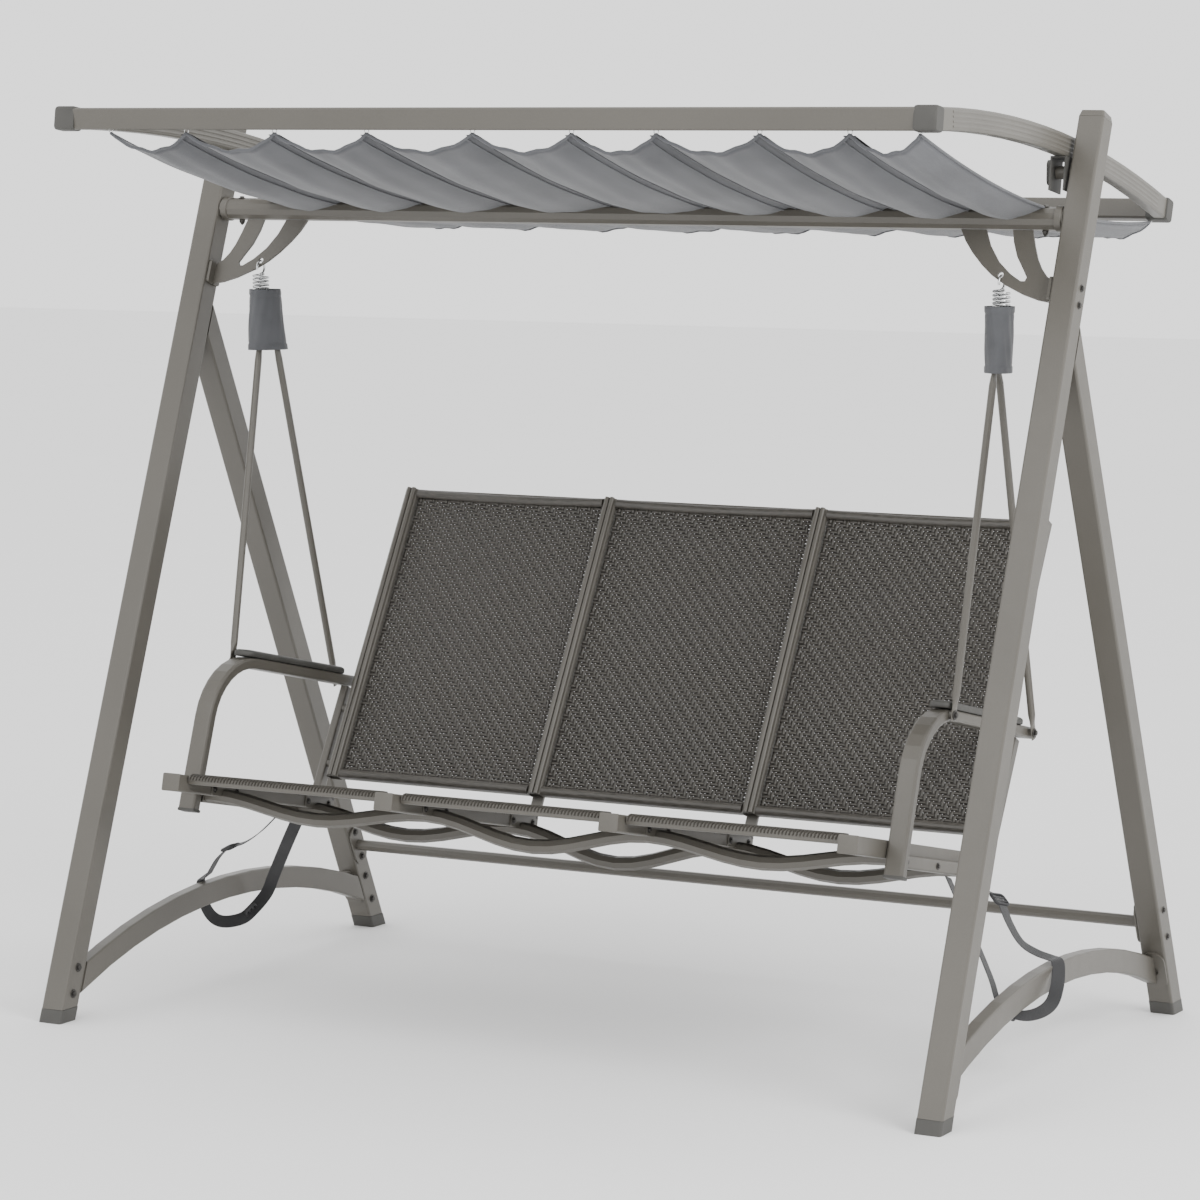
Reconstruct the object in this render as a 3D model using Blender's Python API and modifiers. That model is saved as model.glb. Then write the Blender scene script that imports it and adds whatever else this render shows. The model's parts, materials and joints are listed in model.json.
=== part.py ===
"""Glider swing: an A-frame stand, a three-place hanging seat and a tilting sun canopy.

Metres, +Z up. The origin is on the floor at the middle of the four feet, the seat faces -Y,
and +X is the right side of the seat as seen from the front.
"""

import math

import bmesh
import bpy
from mathutils import Matrix, Vector

# ---------------------------------------------------------------- driving sizes
CLEARANCE = 0.0004           # gap left between pieces that touch

# Stand
FRAME_WIDTH = 1.90           # over the legs at the floor
FRAME_DEPTH = 1.136          # front of the front feet to back of the rear feet
FRAME_HEIGHT = 1.744         # front top corner of a front leg
SIDE_LEAN = math.radians(0.53)   # each side frame leans outward by this
FRONT_LEG_ANGLE = math.radians(19.85)
REAR_LEG_ANGLE = math.radians(23.7)
LEG_WIDTH = 0.050
LEG_DEPTH = 0.047
LEG_WALL = 0.0015
LEG_CORNER = 0.004
FOOT_HEIGHT = 0.025
FOOT_MARGIN = 0.0005
LEG_CAP_HEIGHT = 0.012
LEG_CAP_TAPER = 0.003        # how far the cap's top edge stands in from its sides

BEAM_HEIGHT = 1.547          # axis of the top beam over the floor
BEAM_RADIUS = 0.0218
TUBE_WALL = 0.0015

CROSS_TUBE_HEIGHT = 0.190    # axis of the lower rear tube over the floor
CROSS_TUBE_RADIUS = 0.0115
CROSS_FLANGE_LENGTH = 0.086
CROSS_FLANGE_WIDTH = 0.042

STRETCHER_WIDTH = 0.026      # it lies flush with the legs' inner faces
STRETCHER_DEPTH = 0.045
STRETCHER_FRONT_HEIGHT = 0.077   # its axis where it meets the front leg
STRETCHER_REAR_HEIGHT = 0.093    # its axis where it meets the rear leg
STRETCHER_RISE = 0.0895      # how far its middle rises over the line between its ends
STRETCHER_FLANGE_LENGTH = 0.084
FLANGE_THICKNESS = 0.004

BRACKET_THICKNESS = 0.005
HOOK_HOLE_RADIUS = 0.006
HOOK_INBOARD = 0.110         # hook hole from the leg's inner face
HOOK_DROP = 0.108            # hook hole below the beam's axis, measured along the leg

# Canopy
CANOPY_WIDTH = 1.814
CANOPY_FRONT_Y = -0.520
CANOPY_FRONT_Z = 1.7176
CANOPY_REAR_Y = 0.531
CANOPY_REAR_Z = 1.5606
CANOPY_RISE = 0.044          # how far the side rails arch over a straight line
CANOPY_RAIL_WIDTH = 0.025
CANOPY_RAIL_DEPTH = 0.0405
CANOPY_PIVOT_HEIGHT = 1.630
PIVOT_RADIUS = 0.012
SADDLE_LENGTH = 0.052
SADDLE_DROP = 0.062
SADDLE_WALL = 0.003
KNOB_LENGTH = 0.046
KNOB_WIDTH = 0.020
KNOB_THICKNESS = 0.014
KNOB_SHANK_RADIUS = 0.004
FABRIC_WIDTH = 1.68
FABRIC_CENTRE = 0.040        # the cloth hangs a little to the right
FABRIC_THICKNESS = 0.005
FABRIC_SAG = 0.034
FABRIC_SCALLOP = 0.028
FABRIC_BAYS = 9

# Hanging seat: u runs back along the rails and w runs up from them, tilted back together
SEAT_TILT = math.radians(12.2)
SEAT_FRONT_Y = -0.450
SEAT_FRONT_Z = 0.482
SEAT_RAIL_PITCH = 0.4777
SEAT_RAIL_WIDTH = 0.038
SEAT_RAIL_DEPTH = 0.033
SEAT_RAIL_LENGTH = 0.533
SEAT_PANEL_FRONT = 0.022     # start of the woven panels behind the rails' front ends
SEAT_PANEL_THICKNESS = 0.014

BACK_RECLINE = math.radians(16.3)    # from square with the seat
BACK_START_U = 0.536
BACK_START_W = 0.037
BACK_LENGTH = 0.640
BACK_WIDTH = 1.455
BACK_POST_WIDTH = 0.030
BACK_POST_DEPTH = 0.022
BACK_BAR_WIDTH = 0.018
BACK_PANEL_THICKNESS = 0.010
BACK_FOOT_LENGTH = 0.052     # stub that joins an inner post to its seat rail

ARM_WIDTH = 0.038
ARM_DEPTH = 0.022
ARM_CENTRE = 0.7554          # from the middle of the seat to the middle of an arm
ARM_LEG_U = 0.138            # front leg of an arm where its bend starts
ARM_LEG_LEAN = 6.0           # degrees that this leg leans forward to its foot
ARM_TOP_W = 0.2365
ARM_FOOT_W = -0.062
ARM_END_U = 0.634
ARM_BEND = 0.130
ARM_BASE_WIDTH = 0.018
ARM_BASE_DEPTH = 0.025
ARM_BASE_CENTRE = 0.7455
ARM_BASE_W = -0.0345
ARM_POST_U = 0.541
ARM_PAD_START_U = 0.228
ARM_PAD_END_U = 0.585
ARM_PAD_WIDTH = 0.042
ARM_PAD_THICKNESS = 0.012

WAVE_RADIUS = 0.014
WAVE_TUBES = {               # place, crest height, then half the fall at the outer and middle troughs
    "front_wave_tube": (0.1495, -0.0305, 0.0149, 0.0201),
    "rear_wave_tube": (0.4730, -0.0336, 0.0176, 0.0250),
}

# Hangers
HANGER_X = 0.804             # from the middle of the swing to a hook
SPRING_RADIUS = 0.0148
SPRING_WIRE = 0.00225
SPRING_TURNS = 10
SPRING_PITCH = 0.0071
HOOK_RADIUS = 0.0125
YOKE_THICKNESS = 0.005
ROD_RADIUS = 0.007
ROD_TAB_THICKNESS = 0.004
ROD_TAB_WIDTH = 0.020
FRONT_ROD_U = 0.245
REAR_ROD_U = 0.614
ROD_TOP_SPREAD = 0.032
ROD_TOP_SHIFT = 0.006        # the rods' upper ends sit this far behind the hook
REAR_ROD_INSET = 0.012       # spacer between a yoke and its rear rod
SLEEVE_LENGTH = 0.120
SLEEVE_TOP = (0.051, 0.060)      # across and along the sleeve's oval section
SLEEVE_FOOT = (0.047, 0.084)
SLEEVE_TURN = math.radians(22)   # its rear edge is turned inboard
SLEEVE_TOP_SHIFT = (-0.006, 0.0055)      # its middle from the hook: outboard, back
SLEEVE_FOOT_SHIFT = (-0.009, 0.0095)
SLEEVE_WALL = 0.0015

STRAP_RADIUS = 0.004
STRAP_ROUTES = {             # a loop from an arm base over its stretcher, under it and back, mirrored in X
    "left": [
        (0.7455, -0.058, 0.3447),
        (0.7800, -0.071, 0.3080),
        (0.8150, -0.076, 0.2840),
        (0.8450, -0.084, 0.2730),
        (0.8750, -0.081, 0.2500),
        (0.8960, -0.076, 0.2240),
        (0.9100, -0.072, 0.2070),
        (0.9270, -0.066, 0.2030),
        (0.9375, -0.057, 0.1880),
        (0.9460, -0.036, 0.1450),
        (0.9420, -0.014, 0.1120),
        (0.9280, 0.007, 0.0980),
        (0.9050, 0.035, 0.1010),
        (0.8900, 0.052, 0.1160),
        (0.8720, 0.079, 0.1500),
        (0.8500, 0.073, 0.1890),
        (0.8000, 0.043, 0.2570),
        (0.7455, 0.012, 0.3296),
    ],
    "right": [
        (0.7455, -0.010, 0.3343),
        (0.7750, 0.000, 0.3160),
        (0.8050, -0.002, 0.3020),
        (0.8350, -0.026, 0.2670),
        (0.8620, -0.032, 0.2330),
        (0.8860, -0.018, 0.2140),
        (0.9120, -0.014, 0.2060),
        (0.9290, -0.020, 0.2030),
        (0.9380, -0.034, 0.1880),
        (0.9450, -0.056, 0.1640),
        (0.9460, -0.082, 0.1390),
        (0.9380, -0.114, 0.1270),
        (0.9190, -0.144, 0.1240),
        (0.8970, -0.168, 0.1340),
        (0.8840, -0.183, 0.1560),
        (0.8680, -0.178, 0.1930),
        (0.8200, -0.145, 0.2560),
        (0.7455, -0.100, 0.3538),
    ],
}

SIDES = (("left", -1), ("right", 1))


# ---------------------------------------------------------------- the scene and its materials
def clear_scene():
    for obj in list(bpy.data.objects):
        bpy.data.objects.remove(obj, do_unlink=True)


def principled(name, colour, roughness, metallic=0.0):
    material = bpy.data.materials.new(name)
    material.use_nodes = True
    shader = material.node_tree.nodes["Principled BSDF"]
    shader.inputs["Base Color"].default_value = (*colour, 1.0)
    shader.inputs["Roughness"].default_value = roughness
    shader.inputs["Metallic"].default_value = metallic
    material.diffuse_color = (*colour, 1.0)
    return material


def make_materials():
    return {
        "paint": principled("painted_frame", (0.162, 0.150, 0.122), 0.42, 0.25),
        "plastic": principled("dark_plastic", (0.075, 0.075, 0.068), 0.55),
        "zinc": principled("zinc_plated_steel", (0.62, 0.62, 0.60), 0.30, 1.0),
        "weave": principled("woven_strand", (0.070, 0.062, 0.050), 0.60),
        "fabric": principled("canopy_fabric", (0.142, 0.150, 0.165), 0.85),
        "webbing": principled("strap_webbing", (0.020, 0.020, 0.022), 0.70),
    }


# ---------------------------------------------------------------- shape helpers
def rounded_rectangle(width, depth, radius, steps=2):
    """Corner points of a rounded rectangle, anticlockwise, with each corner an arc."""
    points = []
    for turn, (sx, sy) in enumerate(((1, 1), (-1, 1), (-1, -1), (1, -1))):
        for step in range(steps + 1):
            angle = math.radians(90 * turn + 90 * step / steps)
            x = sx * (width / 2 - radius) + radius * math.cos(angle)
            y = sy * (depth / 2 - radius) + radius * math.sin(angle)
            points.append((x, y))
    return points


def circle(radius, steps, centre=(0.0, 0.0)):
    turns = [2 * math.pi * k / steps for k in range(steps)]
    return [(centre[0] + radius * math.cos(a), centre[1] + radius * math.sin(a)) for a in turns]


def arc(centre, radius, start, end, steps):
    angles = [math.radians(start + (end - start) * k / steps) for k in range(steps + 1)]
    return [(centre[0] + radius * math.cos(a), centre[1] + radius * math.sin(a)) for a in angles]


def curve_object(name, outlines, cyclic=True, dimensions="2D"):
    data = bpy.data.curves.new(name, "CURVE")
    data.dimensions = dimensions
    for outline in outlines:
        spline = data.splines.new("POLY")
        spline.points.add(len(outline) - 1)
        for point, place in zip(spline.points, outline):
            point.co = (*Vector(place).to_3d(), 1.0)
        spline.use_cyclic_u = cyclic
    obj = bpy.data.objects.new(name, data)
    bpy.context.scene.collection.objects.link(obj)
    return obj


def meshed(obj, name):
    """The curve's own surface as a mesh object, with doubled points merged."""
    mesh = bpy.data.meshes.new_from_object(obj.evaluated_get(bpy.context.evaluated_depsgraph_get()))
    bpy.data.objects.remove(obj, do_unlink=True)
    work = bmesh.new()
    work.from_mesh(mesh)
    bmesh.ops.remove_doubles(work, verts=work.verts, dist=1e-6)
    bmesh.ops.recalc_face_normals(work, faces=work.faces)
    work.to_mesh(mesh)
    work.free()
    made = bpy.data.objects.new(name, mesh)
    bpy.context.scene.collection.objects.link(made)
    return made


def plate(name, outlines, thickness):
    """A flat piece from outlines in XY; an outline inside another is a hole. Centred on z = 0."""
    flat = curve_object(name, outlines)
    flat.data.fill_mode = "BOTH"
    flat.data.extrude = thickness / 2
    return meshed(flat, name)


def finish(obj, material, parent=None, matrix=None):
    if matrix is not None:
        obj.matrix_world = matrix
    if parent is not None:
        obj.parent = parent
    obj.data.materials.clear()
    obj.data.materials.append(material)
    return obj


def bar(name, width, depth, length, wall=0.0, corner=0.003):
    """A straight bar or open tube along +Z from the origin: width along X, depth along Y."""
    outlines = [rounded_rectangle(width, depth, corner)]
    if wall:
        inner = max(corner - wall, 0.0004)
        outlines.append(rounded_rectangle(width - 2 * wall, depth - 2 * wall, inner))
    made = plate(name, outlines, length)
    made.data.transform(Matrix.Translation((0, 0, length / 2)))
    return made


def mitre(obj, end_z, point, normal):
    """Slides the points of one end of a straight bar along the bar, onto a plane."""
    for vertex in obj.data.vertices:
        if abs(vertex.co.z - end_z) < 1e-5:
            rise = normal.dot(point) - normal.x * vertex.co.x - normal.y * vertex.co.y
            vertex.co.z = rise / normal.z


def bent_tube(name, path, width, depth, wall, corner=0.003):
    """A rectangular tube bent along a path of (y, z) points, with open ends."""
    section = curve_object(name + "_section", [rounded_rectangle(depth, width, corner)])
    spine = curve_object(name, [path], cyclic=False)
    spine.data.bevel_mode = "OBJECT"
    spine.data.bevel_object = section
    made = meshed(spine, name)
    bpy.data.objects.remove(section, do_unlink=True)
    made.data.transform(Matrix(((0, 0, 1, 0), (1, 0, 0, 0), (0, 1, 0, 0), (0, 0, 0, 1))))
    thicken(made, wall)
    return made


def round_tube(name, points, radius, wall=0.0, sides=2):
    """A round bar, or an open tube where it has a wall, along 3D points."""
    spine = curve_object(name, [points], cyclic=False, dimensions="3D")
    spine.data.bevel_depth = radius
    spine.data.bevel_resolution = sides
    spine.data.use_fill_caps = not wall
    made = meshed(spine, name)
    if wall:
        thicken(made, wall)
    return made


def thicken(obj, wall):
    """Turns a skin into a wall that lies inside it."""
    solid = obj.modifiers.new("wall", "SOLIDIFY")
    solid.thickness = wall
    solid.offset = -1
    solid.use_even_offset = True


def join(obj, *others):
    """Welds the others on, as one solid."""
    for other in others:
        weld = obj.modifiers.new("weld_" + other.name, "BOOLEAN")
        weld.operation = "UNION"
        weld.solver = "EXACT"
        weld.object = other
    bpy.context.view_layer.update()
    mesh = bpy.data.meshes.new_from_object(obj.evaluated_get(bpy.context.evaluated_depsgraph_get()))
    obj.modifiers.clear()
    obj.data = mesh
    for other in others:
        bpy.data.objects.remove(other, do_unlink=True)
    return obj


def box(name, size, centre):
    bpy.ops.mesh.primitive_cube_add(size=1.0)
    made = bpy.context.object
    made.name = name
    made.data.transform(Matrix.Translation(centre) @ Matrix.Diagonal((*size, 1.0)))
    return made


def cylinder(name, radius, start, end, sides=24):
    axis = Vector(end) - Vector(start)
    bpy.ops.mesh.primitive_cylinder_add(radius=radius, depth=axis.length, vertices=sides)
    made = bpy.context.object
    made.name = name
    turn = Vector((0, 0, 1)).rotation_difference(axis).to_matrix().to_4x4()
    made.data.transform(Matrix.Translation((Vector(start) + Vector(end)) / 2) @ turn)
    return made


def empty(name, matrix):
    made = bpy.data.objects.new(name, None)
    bpy.context.scene.collection.objects.link(made)
    made.matrix_world = matrix
    return made


def smooth_route(points, steps):
    """Points along a Catmull-Rom curve through the route's own points."""
    points = [Vector(p) for p in points]
    ends = [2 * points[0] - points[1], *points, 2 * points[-1] - points[-2]]
    made = []
    for k in range(1, len(ends) - 2):
        a, b, c, d = ends[k - 1:k + 3]
        for step in range(steps):
            t = step / steps
            line = 2 * b + (c - a) * t + (2 * a - 5 * b + 4 * c - d) * t ** 2
            made.append((line + (3 * b - a - 3 * c + d) * t ** 3) / 2)
    made.append(points[-1])
    return made


# ---------------------------------------------------------------- the stand
FRONT_AXIS = Vector((0, math.sin(FRONT_LEG_ANGLE), math.cos(FRONT_LEG_ANGLE)))
REAR_AXIS = Vector((0, -math.sin(REAR_LEG_ANGLE), math.cos(REAR_LEG_ANGLE)))
FRONT_BACKWARD = Vector((0, math.cos(FRONT_LEG_ANGLE), -math.sin(FRONT_LEG_ANGLE)))
REAR_FORWARD = Vector((0, -math.cos(REAR_LEG_ANGLE), -math.sin(REAR_LEG_ANGLE)))
FRONT_FOOT = Vector((0, -FRAME_DEPTH / 2 + LEG_DEPTH / 2 / math.cos(FRONT_LEG_ANGLE), 0))
REAR_FOOT = Vector((0, FRAME_DEPTH / 2 - LEG_DEPTH / 2 / math.cos(REAR_LEG_ANGLE), 0))
LEG_CENTRE_X = (FRAME_WIDTH - LEG_WIDTH) / 2


def along_leg(foot, axis, height):
    """The point of a leg's centre line at a height over the floor."""
    return foot + axis * (height / axis.z)


BEAM_Y = along_leg(FRONT_FOOT, FRONT_AXIS, BEAM_HEIGHT).y
CANOPY_PIVOT_Y = along_leg(FRONT_FOOT, FRONT_AXIS, CANOPY_PIVOT_HEIGHT).y


def inner_face(height):
    """How far the legs' inner faces are from the middle plane at a height."""
    return LEG_CENTRE_X - LEG_WIDTH / 2 + height * math.tan(SIDE_LEAN)


def leg_matrix(foot, axis):
    turn = Vector((0, 0, 1)).rotation_difference(axis).to_matrix().to_4x4()
    return Matrix.Translation(foot) @ turn


def cut_bar(obj, matrix, end_z, point, normal):
    """Mitres a bar's end onto a plane that is given in its parent's coordinates."""
    inverse = matrix.inverted()
    mitre(obj, end_z, inverse @ point, (inverse.to_3x3() @ normal).normalized())


def make_leg(name, matrix, length, top_point, top_normal, material, parent):
    leg = bar(name, LEG_WIDTH, LEG_DEPTH, length, LEG_WALL, LEG_CORNER)
    cut_bar(leg, matrix, 0.0, Vector((0, 0, FOOT_HEIGHT + CLEARANCE)), Vector((0, 0, 1)))
    cut_bar(leg, matrix, length, top_point, top_normal)
    return finish(leg, material, parent, matrix)


def make_foot(name, matrix, material, parent):
    """A plug that keeps the leg's lower end off the floor, level at its top and bottom."""
    width = LEG_WIDTH + 2 * FOOT_MARGIN
    depth = LEG_DEPTH + 2 * FOOT_MARGIN
    foot = bar(name, width, depth, FOOT_HEIGHT, corner=LEG_CORNER)
    cut_bar(foot, matrix, 0.0, Vector((0, 0, 0)), Vector((0, 0, 1)))
    cut_bar(foot, matrix, FOOT_HEIGHT, Vector((0, 0, FOOT_HEIGHT)), Vector((0, 0, 1)))
    finish(foot, material, None, Matrix.Translation((parent.location.x, 0, 0)) @ matrix)


def make_legs(label, parent, materials):
    front = leg_matrix(FRONT_FOOT, FRONT_AXIS)
    rear = leg_matrix(REAR_FOOT, REAR_AXIS)
    full = (FRAME_HEIGHT - LEG_DEPTH / 2 * math.sin(FRONT_LEG_ANGLE)) / FRONT_AXIS.z
    length = full - LEG_CAP_HEIGHT - CLEARANCE
    paint = materials["paint"]
    top = FRONT_FOOT + FRONT_AXIS * length
    make_leg(f"{label}_front_leg", front, length, top, FRONT_AXIS, paint, parent)
    meeting = FRONT_FOOT + FRONT_BACKWARD * (LEG_DEPTH / 2 + CLEARANCE)
    make_leg(f"{label}_rear_leg", rear, length, meeting, FRONT_BACKWARD, paint, parent)
    make_foot(f"{label}_front_foot", front, materials["plastic"], parent)
    make_foot(f"{label}_rear_foot", rear, materials["plastic"], parent)
    cap = bar(f"{label}_leg_cap", LEG_WIDTH, LEG_DEPTH, LEG_CAP_HEIGHT, corner=LEG_CORNER)
    for vertex in cap.data.vertices:
        if vertex.co.z > LEG_CAP_HEIGHT / 2:
            vertex.co.x *= 1 - 2 * LEG_CAP_TAPER / LEG_WIDTH
            vertex.co.y *= 1 - 2 * LEG_CAP_TAPER / LEG_DEPTH
    finish(cap, paint, parent, front @ Matrix.Translation((0, 0, length + CLEARANCE)))


def flange(name, width, length, thickness, hole, point, normal, up):
    """A rounded end plate with a drain hole, lying on a face."""
    made = plate(name, [rounded_rectangle(width, length, width * 0.45, 4), circle(hole, 12)], thickness)
    across = up.cross(normal).normalized()
    place = Matrix((across, up.normalized(), normal.normalized())).transposed().to_4x4()
    made.data.transform(Matrix.Translation(point) @ place)
    return made


def slide_ring(obj, near, direction, point, normal):
    """Moves the end ring of a tube that is nearest to a point along a direction, onto a plane."""
    reach = max(STRETCHER_WIDTH, STRETCHER_DEPTH)
    for vertex in obj.data.vertices:
        if (vertex.co - near).length < reach * 0.9:
            vertex.co += direction * (normal.dot(point - vertex.co) / normal.dot(direction))


def meeting_point(foot, axis, inward, height):
    """Where a stretcher's flange lies against the inner side of a leg, at a height over the floor."""
    face = foot + inward * (LEG_DEPTH / 2 + CLEARANCE + FLANGE_THICKNESS / 2)
    return along_leg(face, axis, height - face.z)


def make_stretcher(label, side, parent, material):
    """The arched tube between a front leg and a rear leg, with a flange at each end."""
    start = meeting_point(FRONT_FOOT, FRONT_AXIS, FRONT_BACKWARD, STRETCHER_FRONT_HEIGHT)
    end = meeting_point(REAR_FOOT, REAR_AXIS, REAR_FORWARD, STRETCHER_REAR_HEIGHT)
    half = (end - start).length / 2
    slope = math.atan2(end.z - start.z, end.y - start.y)
    radius = (half ** 2 + STRETCHER_RISE ** 2) / (2 * STRETCHER_RISE)
    spread = math.asin(half / radius)
    middle = (start + end) / 2
    fall = radius - STRETCHER_RISE
    centre = (middle.y + fall * math.sin(slope), middle.z - fall * math.cos(slope))
    first, last = 90 + math.degrees(slope + spread), 90 + math.degrees(slope - spread)
    path = arc(centre, radius, first, last, 12)
    tube = bent_tube(f"{label}_stretcher", path, STRETCHER_WIDTH, STRETCHER_DEPTH, TUBE_WALL, 0.003)
    rise, drop = slope + spread, spread - slope
    slide_ring(tube, start, Vector((0, math.cos(rise), math.sin(rise))), start, FRONT_BACKWARD)
    slide_ring(tube, end, Vector((0, -math.cos(drop), math.sin(drop))), end, REAR_FORWARD)
    tube.data.transform(Matrix.Translation((-side * (LEG_WIDTH - STRETCHER_WIDTH) / 2, 0, 0)))
    size = (LEG_WIDTH - 0.004, STRETCHER_FLANGE_LENGTH, FLANGE_THICKNESS, 0.008)
    front = flange("front_flange", *size, start, FRONT_BACKWARD, FRONT_AXIS)
    rear = flange("rear_flange", *size, end, REAR_FORWARD, REAR_AXIS)
    finish(join(tube, front, rear), material, parent)


def make_bracket(label, side, parent, material):
    """The flat gusset under the beam that carries a hook. X runs inboard and Y runs down the leg."""
    top = BEAM_RADIUS + CLEARANCE
    outline = [(0.202, top), (0.190, 0.044), (0.173, 0.066), (0.150, 0.090), (0.128, 0.1085),
               (0.099, 0.1265), (0.061, 0.144), (0.030, 0.154), (0.0062, 0.158), (0.0062, 0.118),
               (0.020, 0.108), (0.032, 0.094), (0.042, 0.076), (0.051, 0.052), (0.060, top),
               (0.099, top), (0.094, 0.045), (0.083, 0.073), (0.066, 0.099), (0.058, 0.112),
               (0.061, 0.119), (0.069, 0.119), (0.092, 0.105), (0.118, 0.082), (0.139, 0.052),
               (0.152, top)]
    hole = circle(HOOK_HOLE_RADIUS, 16, (HOOK_INBOARD, HOOK_DROP))
    made = plate(f"{label}_hook_bracket", [outline, hole], BRACKET_THICKNESS)
    base = plate("base", [rounded_rectangle(0.038, 0.046, 0.005)], 0.006)
    base.data.transform(Matrix.Translation((0.0035, 0.136, 0)) @ Matrix.Rotation(math.pi / 2, 4, "Y"))
    join(made, base)
    inner = inner_face(BEAM_HEIGHT - 0.155) - CLEARANCE
    corner = Vector((side * inner, BEAM_Y, BEAM_HEIGHT))
    inboard = Vector((-side, 0, 0))
    columns = Matrix((inboard, -FRONT_AXIS, inboard.cross(-FRONT_AXIS))).transposed().to_4x4()
    finish(made, material, None, Matrix.Translation(corner) @ columns)
    made.parent = parent
    made.matrix_parent_inverse = parent.matrix_world.inverted()


def make_beam(material):
    half = inner_face(BEAM_HEIGHT - BEAM_RADIUS) - CLEARANCE
    ends = [(-half, BEAM_Y, BEAM_HEIGHT), (half, BEAM_Y, BEAM_HEIGHT)]
    finish(round_tube("top_beam", ends, BEAM_RADIUS, TUBE_WALL, sides=4), material)


def make_cross_tube(material):
    """The lower rear tube, with a flange on the inner face of each rear leg."""
    centre = along_leg(REAR_FOOT, REAR_AXIS, CROSS_TUBE_HEIGHT)
    reach = CROSS_FLANGE_LENGTH / 2
    half = inner_face(CROSS_TUBE_HEIGHT - reach) - CLEARANCE - FLANGE_THICKNESS / 2
    ends = [(-half, centre.y, centre.z), (half, centre.y, centre.z)]
    tube = round_tube("lower_cross_tube", ends, CROSS_TUBE_RADIUS, TUBE_WALL, sides=3)
    flanges = []
    for label, side in SIDES:
        size = (CROSS_FLANGE_WIDTH, CROSS_FLANGE_LENGTH, FLANGE_THICKNESS, CROSS_TUBE_RADIUS * 0.6)
        place = Vector((side * half, centre.y, centre.z))
        flanges.append(flange(label, *size, place, Vector((-side, 0, 0)), REAR_AXIS))
    finish(join(tube, *flanges), material)


def make_stand(materials):
    for label, side in SIDES:
        lean = Matrix.Rotation(side * SIDE_LEAN, 4, "Y")
        parent = empty(f"{label}_side_frame", Matrix.Translation((side * LEG_CENTRE_X, 0, 0)) @ lean)
        bpy.context.view_layer.update()
        make_legs(label, parent, materials)
        make_stretcher(label, side, parent, materials["paint"])
        make_bracket(label, side, parent, materials["paint"])
    make_beam(materials["paint"])
    make_cross_tube(materials["paint"])


# ---------------------------------------------------------------- the canopy
CANOPY_LENGTH = math.hypot(CANOPY_REAR_Y - CANOPY_FRONT_Y, CANOPY_REAR_Z - CANOPY_FRONT_Z)
CANOPY_SLOPE = math.atan2(CANOPY_REAR_Z - CANOPY_FRONT_Z, CANOPY_REAR_Y - CANOPY_FRONT_Y)
SIDE_RAIL_X = CANOPY_WIDTH / 2 - CANOPY_RAIL_WIDTH / 2


def canopy_arc(inset):
    """Centre and radius of the side rails' arc, and its half angle less an inset at each end."""
    half = CANOPY_LENGTH / 2
    radius = (half ** 2 + CANOPY_RISE ** 2) / (2 * CANOPY_RISE)
    middle = Vector(((CANOPY_FRONT_Y + CANOPY_REAR_Y) / 2, (CANOPY_FRONT_Z + CANOPY_REAR_Z) / 2))
    downward = Vector((math.sin(CANOPY_SLOPE), -math.cos(CANOPY_SLOPE)))
    return middle + downward * (radius - CANOPY_RISE), radius, math.asin((half - inset) / radius)


def rail_height(y):
    """Height of the side rails' centre line over the floor at a distance back."""
    centre, radius, _ = canopy_arc(0)
    return centre.y + math.sqrt(radius ** 2 - (y - centre.x) ** 2)


def make_cross_rail(name, y, z, tilt, material, parent):
    rail = bar(name, CANOPY_RAIL_WIDTH, CANOPY_RAIL_DEPTH, CANOPY_WIDTH, TUBE_WALL, 0.004)
    lie = Matrix.Rotation(tilt, 4, "X") @ Matrix.Rotation(math.pi / 2, 4, "Y")
    rail.data.transform(Matrix.Rotation(math.pi / 2, 4, "Z"))
    rail.data.transform(Matrix.Translation((-CANOPY_WIDTH / 2, y, z)) @ lie)
    attach(finish(rail, material), parent)


def attach(obj, parent):
    obj.parent = parent
    obj.matrix_parent_inverse = parent.matrix_world.inverted()


def make_side_rails(material, parent):
    centre, radius, spread = canopy_arc(CANOPY_RAIL_WIDTH / 2 + CLEARANCE)
    lean = math.degrees(CANOPY_SLOPE)
    path = arc(centre, radius, 90 + lean + math.degrees(spread), 90 + lean - math.degrees(spread), 14)
    for label, side in SIDES:
        rail = bent_tube(f"{label}_canopy_rail", path, CANOPY_RAIL_WIDTH, CANOPY_RAIL_DEPTH, TUBE_WALL, 0.004)
        rail.data.transform(Matrix.Translation((side * SIDE_RAIL_X, 0, 0)))
        attach(finish(rail, material), parent)


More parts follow.
